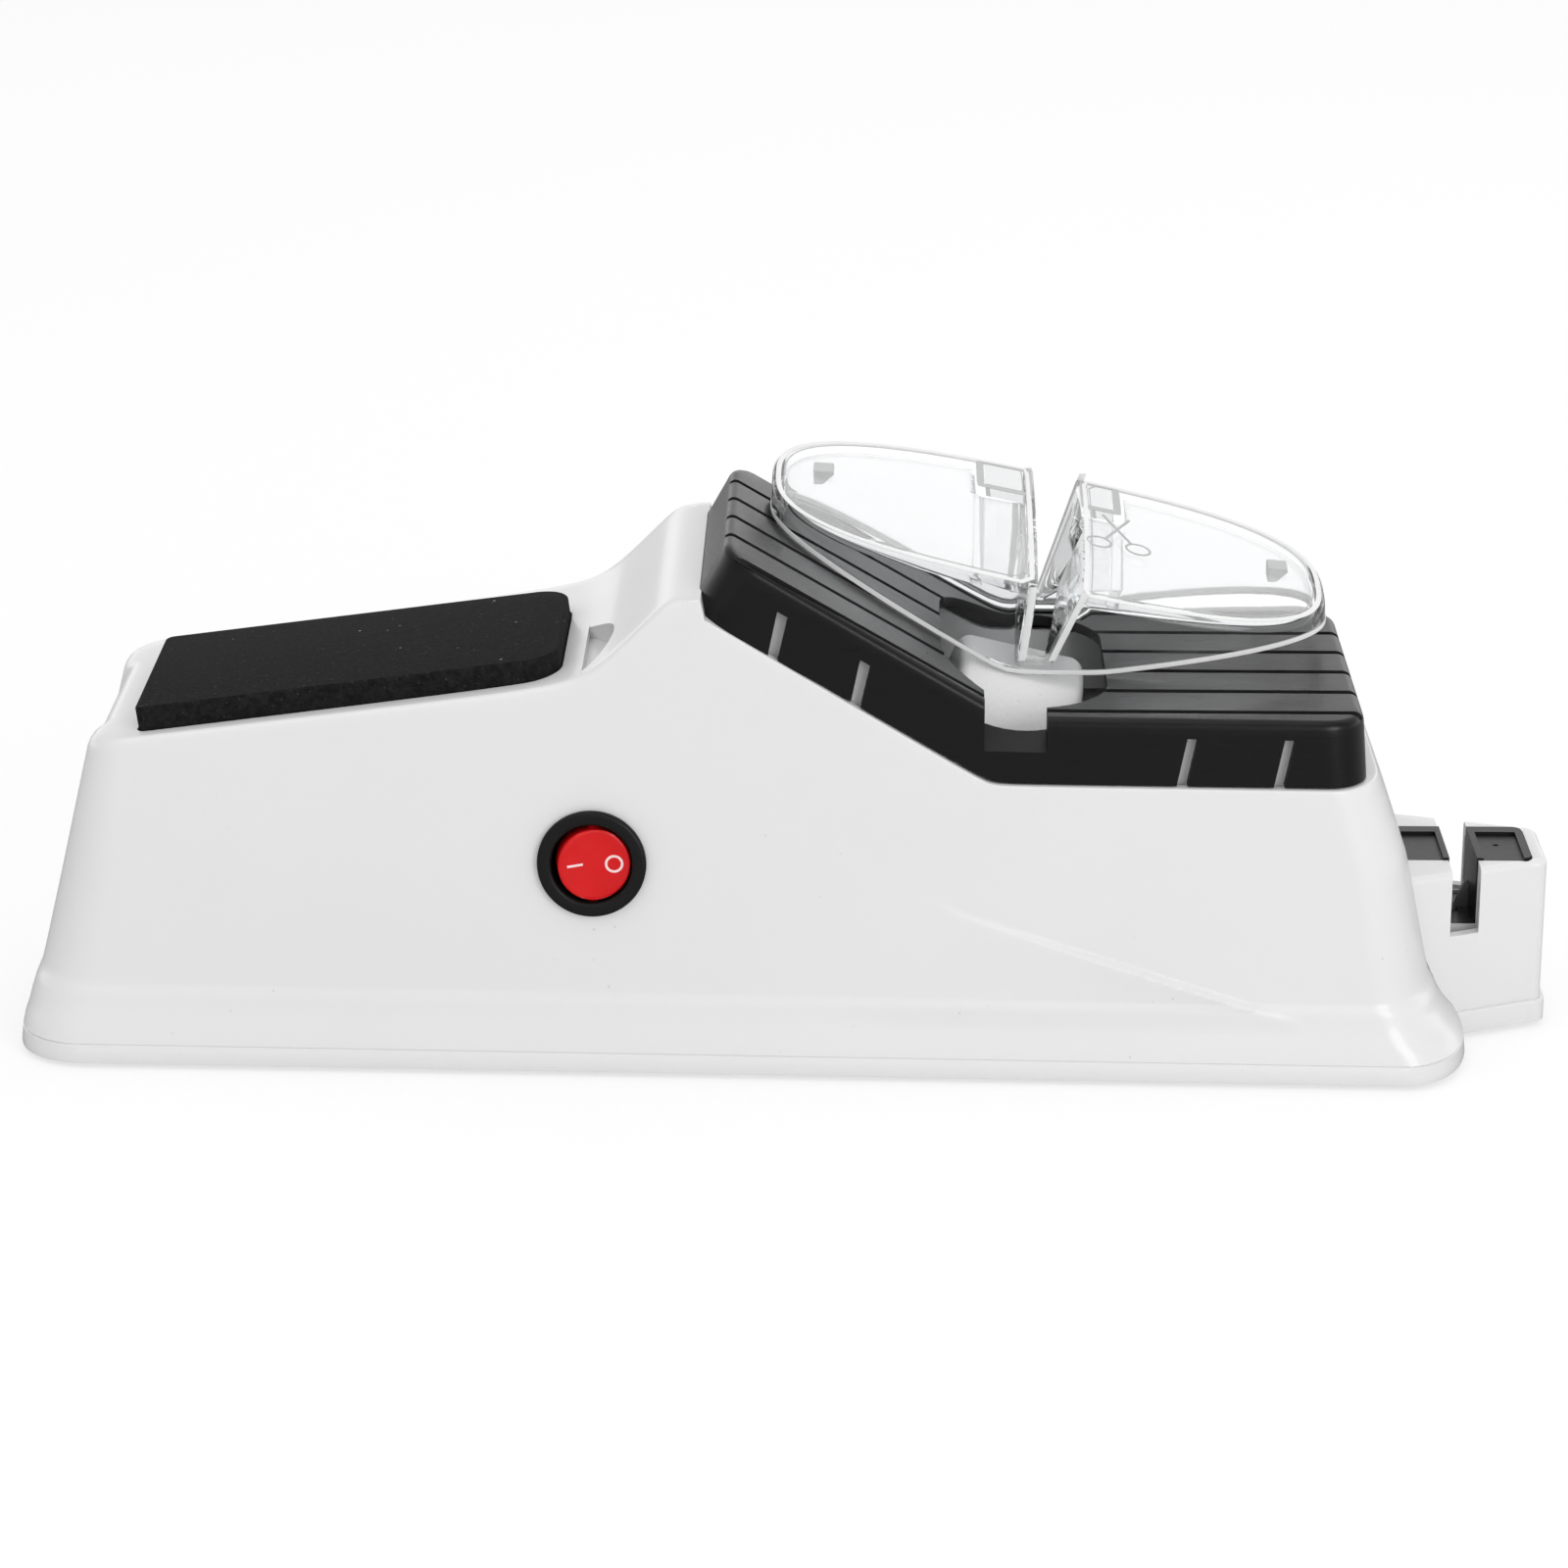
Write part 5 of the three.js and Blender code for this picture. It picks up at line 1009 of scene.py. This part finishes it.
def board():
    """Green board: paler copper tracks under the lacquer in a square weave."""
    sheet = Sheet("green_circuit_board", IOR=1.5)
    lines = sheet.maths("FRACT", sheet.part(sheet.place, "X") * 400) > 0.7
    rows = sheet.maths("FRACT", sheet.part(sheet.place, "Y") * 260) > 0.8
    tracks = sheet.within(sheet.noise(90, 1), 0.45, 0.5) * sheet.maths("MAXIMUM", lines, rows)
    base = sheet.blend(sheet.noise(400, 2), grey([40, 98, 52]), grey([48, 112, 62]))
    sheet.feed(Base_Color=sheet.blend(tracks * 0.6, base, grey([86, 150, 84])),
               Roughness=sheet.middle(sheet.noise(300, 2), 0.3, 0.45))
    return sheet.bump(tracks, 0.03, 0.6).material


def red_plastic():
    """The rocker's red, a little glossier than the black round it."""
    return plain("red_glossy_plastic", [206, 12, 18], [220, 20, 24], (200, 2), (500, 3, 0.28, 0.4),
                 (1500, 0.012, 0.5), IOR=1.5, Specular_IOR_Level=0.3, Coat_Weight=0.15, Coat_Roughness=0.1)


def wire(name, colour, shade):
    """The insulation of a lead."""
    return plain(name, colour, shade, (400, 2), (900, 2, 0.4, 0.55), (1600, 0.02, 0.5), IOR=1.48)


def edge_light_plastic(name, dark, light):
    """Painted light and shade on the clear plastic: its beads, bands and hooks get a pale or grey colour that
    stands for the light they catch or the shade in them.
    """
    return plain(name, dark, light, (80, 2), (300, 3, 0.3, 0.45), (1500, 0.02, 0.5), IOR=1.4)


MATERIALS = {
    "white_plastic": white_plastic(),
    "black_plastic": black_plastic(),
    "clear_plastic": clear_plastic(),
    "white_ceramic": ceramic(),
    "black_stone": black_stone(),
    "red_plastic": red_plastic(),
    "steel": metal("plated_steel", 205, 160, (1.0, 0.04, 1.0)),
    "brass": metal("turned_brass", [214, 178, 110], [170, 130, 70], (1.0, 1.0, 0.05)),
    "rubber": plain("black_rubber", 34, 48, (300, 3), (800, 3, 0.7, 0.9), (2500, 0.05, 0.6), IOR=1.5),
    "board": board(),
    "red_wire": wire("red_insulation", [190, 30, 30], [160, 22, 24]),
    "black_wire": wire("black_insulation", 38, 52),
}
RIBBED = ribbed_plastic()
MARK = plain("pale_mark_paint", [240, 205, 205], [252, 228, 228], (900, 2), (900, 2, 0.45, 0.6), IOR=1.45)
# Painted highlight (pale) and painted shade (grey) for the clear cover's edges, lines and marks.
EDGE_HIGHLIGHT = edge_light_plastic("painted_edge_highlight", 232, 244)
SHADED = edge_light_plastic("shaded_edge", 178, 196)


def dress(piece, body, slot, *nodes, look=None):
    """Gives a finished piece its look, the slot's material unless another look is given, and its body, and
    hides the nodes that it stands for.
    """
    piece.data.materials.clear()
    piece.data.materials.append(look or MATERIALS[slot])
    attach(piece, body)
    if nodes:
        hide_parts(*nodes)
    return piece


SLOTS = {part["node"]: part["material_slot"] for part in frame["record"]["subparts"]}
for node, piece in frame["nodes"].items():
    piece.data.materials.clear()
    piece.data.materials.append(MATERIALS[SLOTS[node]])


# Wheel, stone, switch and feet
ROCKER_FRAME = SWITCH_FRAME @ tipped(math.radians(10), [0, 0, -1.7])
ROCKER_TOP, ROCKER_RADIUS = 3.4, 6.2


def make_wheel():
    """The grinding wheel with its rounded rims and its bore."""
    half, rim, bore = WHEEL_HALF, 2.2, 4
    profile = ([[bore, -half], [6, -half]] + arc(WHEEL_RADIUS - rim, rim - half, rim, -90, 0, 8)
               + arc(WHEEL_RADIUS - rim, half - rim, rim, 0, 90, 8)
               + [[6, half], [bore, half], [bore, -half]])
    return turned("abrasive_wheel", profile, 144, DRIVE_FRAME)


def make_stone():
    """The sharpening stone, its edges eased."""
    return moved_by(rounded_slab("stone", STONE_LENGTH, STONE_WIDTH, 1.6, 6, -4, 4.2, ease=0.5), STONE_FRAME)


def make_bezel():
    """The switch's round housing, with sockets for the rocker's pins and passages for the two blades."""
    profile = ([[0, -14], [7.7, -14], [7.7, 0.3], [9.3, 0.3], [9.3, 0.8]] + arc(8.7, 0.9, 0.6, 0, 90, 5)
               + arc(7.5, 0.9, 0.6, 90, 180, 5) + [[6.9, 0.4], [6.9, -9.5], [0, -9.5]])
    bezel = turned("switch_ring", profile, 96, SWITCH_FRAME)
    for side in (-1, 1):
        socket = block("socket", -1.3, 1.3, *sorted((side * 5.9, side * 7.7)), -3.0, -0.4)
        cut(bezel, moved_by(socket, SWITCH_FRAME))
    for side in (-1, 1):
        passage = block("passage", side * 4.2 - 0.7, side * 4.2 + 0.7, -2.7, 2.7, -18, -5)
        cut(bezel, moved_by(passage, SWITCH_FRAME))
    finish_shading(bezel, 32)
    return bezel


def rocker_dip(x):
    """The rocker's face dips 0.55 mm along its middle line, with the square of a cosine across it."""
    return 0.55 * np.cos(np.clip(x / ROCKER_RADIUS, -1, 1) * np.pi / 2) ** 2


def rocker_face(x, y):
    """Height of the rocker's face in its own frame."""
    return ROCKER_TOP - rocker_dip(x)


def make_rocker():
    """The rocker: a round button with a dipped face and a pin on each side."""
    turn = np.linspace(0, 2 * np.pi, 72, endpoint=False)
    rows = []
    for r, z in ([[0, -3.0], [4.2, -3.0], [ROCKER_RADIUS, -1.0], [ROCKER_RADIUS, 2.6]]
                 + arc(5.7, 2.9, 0.5, 0, 90, 4) + [[r, ROCKER_TOP] for r in np.linspace(5.4, 0, 12)]):
        x, y = r * np.cos(turn), r * np.sin(turn)
        rows.append(np.column_stack([x, y, z - rocker_dip(x) * smooth_step(z, 2.9, 3.3)]))
    rocker = new_piece("rocker_button", np.concatenate(rows), grid_faces(len(rows), 72))
    for side in (-1, 1):
        ring = [[math.cos(t), math.sin(t)] for t in np.linspace(0, 2 * np.pi, 20, endpoint=False)]
        cut(rocker, prism("pin", ring, *sorted((side * 5.2, side * 7.4)), axis="y"), operation="UNION")
    return moved_by(rocker, ROCKER_FRAME)


def raised_band(name, centre, path, width, rise, closed, seat, matrix):
    """A thin raised band along a flat path: width across, rise above the seat's surface, its foot sunk."""
    path = np.array(path, float)
    ahead = np.roll(path, -1, 0) - np.roll(path, 1, 0) if closed else np.gradient(path, axis=0)
    across = np.column_stack([-ahead[:, 1], ahead[:, 0]])
    across /= np.linalg.norm(across, axis=1, keepdims=True)
    rows = []
    for side, high in ((-0.5, -0.08), (-0.5, rise * 0.5), (-0.3, rise), (0.3, rise), (0.5, rise * 0.5),
                       (0.5, -0.08)):
        place = path + across * side * width + np.array(centre)
        rows.append(np.column_stack([place, seat(place[:, 0], place[:, 1]) + high]))
    faces = (ring_faces if closed else capped_faces)(len(path), 6)
    return moved_by(new_piece(name, np.stack(rows, 1).reshape(-1, 3), faces), matrix)


dress(make_casing(), "housing", "white_plastic", "body_shell")
dress(make_cap(), "housing", "black_plastic", "ribbed_cap", look=RIBBED)
dress(make_cover(), "cover", "clear_plastic", "clear_cover")
dress(make_block(), "housing", "white_plastic", "pull_through_housing")
dress(make_insert(), "housing", "black_plastic", "pull_through_insert", look=RIBBED)
dress(make_wheel(), "drive", "white_ceramic", "grinding_wheel")
dress(make_stone(), "stone", "black_stone", "sharpening_stone")
dress(make_bezel(), "housing", "black_plastic", "switch_bezel")
dress(make_rocker(), "rocker", "red_plastic", "switch_rocker")

ring = np.linspace(0, 2 * np.pi, 48, endpoint=False)
off_path = np.column_stack([1.35 * np.cos(ring), 1.35 * np.sin(ring)])
on_path = [[1.35 * s, 0.12 * s] for s in np.linspace(-1, 1, 12)]
off_mark = raised_band("off_mark", [3.35, 0.1], off_path, 0.42, 0.05, True, rocker_face, ROCKER_FRAME)
on_mark = raised_band("on_mark", [-3.3, 0.0], on_path, 0.42, 0.05, False, rocker_face, ROCKER_FRAME)
for mark in (off_mark, on_mark):
    dress(mark, "rocker", "red_plastic", look=MARK)

foot_profile = [[0, -0.7], [3.0, -0.7], [3.6, -1.0]] + arc(5.3, -0.3, 0.7, -90, 0, 5) + [[6, 1.1], [0, 1.1]]
for node in [n for n in SLOTS if n.startswith("rubber_foot")]:
    low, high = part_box(node)
    x, y, _ = (np.array(low) + np.array(high)) / 2 * 1000 - SHIFT
    foot = turned(node.replace("rubber_foot", "soft_foot"), foot_profile, 56, lifted(x, y, 0))
    dress(foot, "housing", "rubber", node)


# Marks and edges of the clear cover
def lobe_path(side, inset):
    """The roof's edge round one lobe, drawn in by inset: part of the outline, closed along the knife slot."""
    x, y, z = where_met(cover_outline(-inset), cover_columns(720), cover_roof, 80.0)
    keep = x < slot_side(0, y, z) - inset if side < 0 else x > slot_side(1, y, z) + inset
    first = int(np.argmax(keep & ~np.roll(keep, 1)))
    order = (np.arange(len(keep)) + first) % len(keep)
    edge = np.column_stack([x, y])[order[:int(keep.sum())]][::4]
    ends = np.linspace(edge[-1], edge[0], 26)[1:-1]
    line_x = slot_side(int(side > 0), ends[:, 1], cover_roof(ends[:, 0], ends[:, 1])) + side * inset
    return np.concatenate([edge, np.column_stack([line_x, ends[:, 1]])])


def roof_band(name, path, width, look, rise=0.05, closed=True):
    """A raised band on the cover's roof."""
    piece = raised_band(name, [0, 0], path, width, rise, closed, cover_roof, np.eye(4))
    return dress(piece, "cover", "clear_plastic", look=look)


def foot_band():
    """The foot of the cover's wall, thickened to a small bead that follows the cap."""
    columns = cover_columns()

    def row(out, rise):
        points = where_met(cover_outline(out), columns, lambda x, y: cover_foot(x, y) + rise, 70.0)
        return np.column_stack(points)

    rows = [row(-0.4, 0.08), row(0.1, 0.08), row(0.16, 0.4), row(0.1, 0.85), row(-0.4, 0.85)]
    return new_piece("foot_bead", np.concatenate(rows), ring_faces(len(rows), len(columns)))


def cover_reach(z, front):
    """Place along Y of the cover's wall beside the slot at each height: the superellipse solved for Y."""
    grow = (COVER_LEVEL - z) * COVER_DRAFT
    share = 1 - (np.abs(51.5 - COVER_X) / COVER_HALF_X) ** COVER_POWER
    return COVER_Y + front * (COVER_HALF_Y + grow) * share ** (1 / COVER_POWER)


def slot_edge(name, side, y, front):
    """A bead up the upright edge of one slot wall, from the foot to the roof."""
    z = np.linspace(66.0, cover_roof(SLOT_X + side * 5.0, y) - 0.4, 12)
    reach = cover_reach(z, front)
    x = slot_side(side, reach, z) + (0.75 if side else -0.75)
    rows = [np.column_stack([x + across, reach + front * out, z]) for across, out in (
        (-0.6, -0.5), (0.6, -0.5), (0.6, 0.05), (0.25, 0.14), (-0.25, 0.14), (-0.6, 0.05))]
    return new_piece(name, np.stack(rows, 1).reshape(-1, 3), capped_faces(12, 6))


def latch_hook(label, x, y):
    """A hook under the roof near one end of the cover, which shows through it as a small wedge."""
    low = cap_line(x) + 0.35
    high = cover_roof(x + 1.6, y - 2) - 0.5
    foot = max(high - 3.0, low)
    outline = [[x, foot], [x + 1.6, foot], [x + 3.6, high - 1], [x + 3.6, high], [x, high]]
    hook = prism("latch_hook_" + label, outline, y - 2.3, y + 2.3, axis="y")
    eased(hook, 0.25)
    return hook


turn = np.linspace(0, 2 * np.pi, 29)[:-1]
MARK_X = 65.7  # the middle of the scissors mark
# The rims, slot edges and foot bead are painted pale, a painted highlight on the cover's edges; the inner rim
# lines, hooks, post rims and scissors mark are painted grey, a painted shade.
for side, label in ((-1, "left"), (1, "right")):
    roof_band("rim_" + label, lobe_path(side, 1.1), 0.9, EDGE_HIGHLIGHT)
    roof_band("rim_line_" + label, lobe_path(side, 2.1), 0.22, SHADED, 0.03)
    for front, y, end in ((-1, SLOT_FRONT, "front"), (1, SLOT_BACK, "back")):
        edge = slot_edge("slot_edge_" + end + "_" + label, int(side > 0), y, front)
        dress(edge, "cover", "clear_plastic", look=EDGE_HIGHLIGHT)
dress(foot_band(), "cover", "clear_plastic", look=EDGE_HIGHLIGHT)
for label, x, y in (("left", 12.2, 18.6), ("right", 92.2, 17.6)):
    dress(latch_hook(label, x, y), "cover", "clear_plastic", look=SHADED)
for label, x0, x1 in (("left", POSTS[0] - 8.0, POSTS[0] + 0.6), ("right", POSTS[1] - 0.6, POSTS[1] + 5.2)):
    corners = np.array([[x0, 22.2], [x1, 22.2], [x1, 31.6], [x0, 31.6]])
    path = np.concatenate([np.linspace(corners[k], corners[(k + 1) % 4], 9)[:-1] for k in range(4)])
    roof_band("post_rim_" + label, path, 1.3, SHADED, 0.04)
for side, label in ((-1, "left"), (1, "right")):
    grip = np.column_stack([MARK_X + side * 3.4 + 2.1 * np.cos(turn), 10.6 + 1.7 * np.sin(turn)])
    roof_band("grip_mark_" + label, grip, 0.42, SHADED)
    blade = np.linspace([MARK_X + side * 2.2, 12.2], [MARK_X - side * 2.3, 20.4], 16)
    roof_band("blade_mark_" + label, blade, 0.5, SHADED, 0.05 + 0.03 * (side > 0), False)


# Stage, light and camera
ROOM_LIGHT = 0.77
FLOOR_GLOW = 0.66
FLOOR_SEEN = 0.36
WHITE = (1.0, 1.0, 1.0, 1.0)
PHOTO_PIXELS, FOCAL_PIXELS = 1600, 4925.1
CAMERA_PLACE = (18.050, -801.251, 316.121)
CAMERA_TURNS = (-0.7588, 19.01, 0.1263)  # heading, fall and roll in degrees


def floor():
    """The pale floor. Seen straight or through the cover it is white. What mirrors it meets a floor that is
    dark in front and bright behind."""
    sheet = Sheet("pale_floor", Roughness=0.9, Specular_IOR_Level=0.1)
    pale = sheet.blend(sheet.noise(3, 2), (0.80, 0.80, 0.80), (0.81, 0.81, 0.81))
    behind = sheet.within(sheet.part(sheet.place, "Y"), -0.05, 0.35)
    mirrored = sheet.blend(behind, (0.3, 0.3, 0.3), (1.0, 1.0, 1.0))
    glossy, direct = sheet.ray_kinds()
    sheet.feed(Base_Color=sheet.blend(glossy, pale, mirrored))
    seen = sheet.principled(Base_Color=(FLOOR_SEEN, FLOOR_SEEN, FLOOR_SEEN, 1), Roughness=0.9,
                            Specular_IOR_Level=0.0, Emission_Color=WHITE, Emission_Strength=FLOOR_GLOW)
    sheet.show(sheet.mix_shaders(direct, sheet.shader, seen))
    size = 6.0
    mesh = bpy.data.meshes.new("floor")
    mesh.from_pydata([(x, y, 0) for x, y in ((-size, -size), (size, -size), (size, size), (-size, size))],
                     [], [[0, 1, 2, 3]])
    mesh.materials.append(sheet.material)
    piece = bpy.data.objects.new("floor", mesh)
    bpy.context.collection.objects.link(piece)


def room():
    """The pale room, white where it is seen straight. What mirrors it meets a room that is dark in front and
    bright behind, and brightest low down, as in a studio with its light cloth behind the object."""
    world = bpy.data.worlds.new("pale_room")
    bpy.context.scene.world = world
    world.use_nodes = True
    nodes = Nodes(world.node_tree)

    def backdrop(strength):
        return nodes.node("ShaderNodeBackground", {}, {"Color": WHITE, "Strength": strength})

    place = nodes.node("ShaderNodeTexCoord", output="Generated")
    behind = nodes.within(nodes.part(place, "Y"), -0.2, 0.6, 0.3, 1.0)
    low = nodes.within(nodes.part(place, "Z"), 0.14, 0.33, 1.5, 0.55)
    glossy, direct = nodes.ray_kinds()
    lighting = nodes.mix_shaders(glossy, backdrop(ROOM_LIGHT), backdrop(behind * low))
    nodes.node("ShaderNodeOutputWorld", {}, {"Surface": nodes.mix_shaders(direct, lighting, backdrop(1.0))})


def area(name, place, aim, size, power):
    """A round lamp at a place, turned to what it aims at, in metres."""
    lamp = bpy.data.lights.new(name, "AREA")
    lamp.shape = "DISK"
    lamp.size = size
    lamp.energy = power
    holder = bpy.data.objects.new(name, lamp)
    bpy.context.collection.objects.link(holder)
    holder.location = place
    away = np.array(place, float) - np.array(aim, float)
    pitch = math.atan2(math.hypot(away[0], away[1]), away[2])
    holder.rotation_euler = (0, pitch, math.atan2(away[1], away[0]))


def photo_camera():
    """The camera as it was fitted to the photo: its focal length, its place, its heading to the right of the
    Y axis, how far it looks down, and its small roll."""
    camera = bpy.data.cameras.new("camera")
    camera.sensor_width = 36
    camera.lens = FOCAL_PIXELS / PHOTO_PIXELS * camera.sensor_width
    viewer = bpy.data.objects.new("camera", camera)
    bpy.context.collection.objects.link(viewer)
    heading, fall, roll = np.radians(CAMERA_TURNS)
    ahead = np.array([math.sin(heading), math.cos(heading), -math.tan(fall)]) * math.cos(fall)
    level = np.array([math.cos(heading), -math.sin(heading), 0])
    up = np.cross(level, ahead)
    right_hand = level * math.cos(roll) + up * math.sin(roll)
    overhead = up * math.cos(roll) - level * math.sin(roll)
    place = (np.array(CAMERA_PLACE) + SHIFT) / 1000
    viewer.matrix_world = Matrix(basis(right_hand, overhead, -ahead, place).tolist())
    bpy.context.scene.camera = viewer


floor()
room()
area("soft_top", (-0.25, -0.35, 0.95), (0, 0, 0.03), 0.9, 1.2)
area("soft_front", (0.7, -1.15, 0.5), (0, 0, 0.04), 0.8, 5.4)
area("soft_back", (0.30, 0.86, 0.89), (0.04, 0, 0.08), 0.55, 1.0)
photo_camera()
bpy.context.scene.view_settings.view_transform = "Standard"
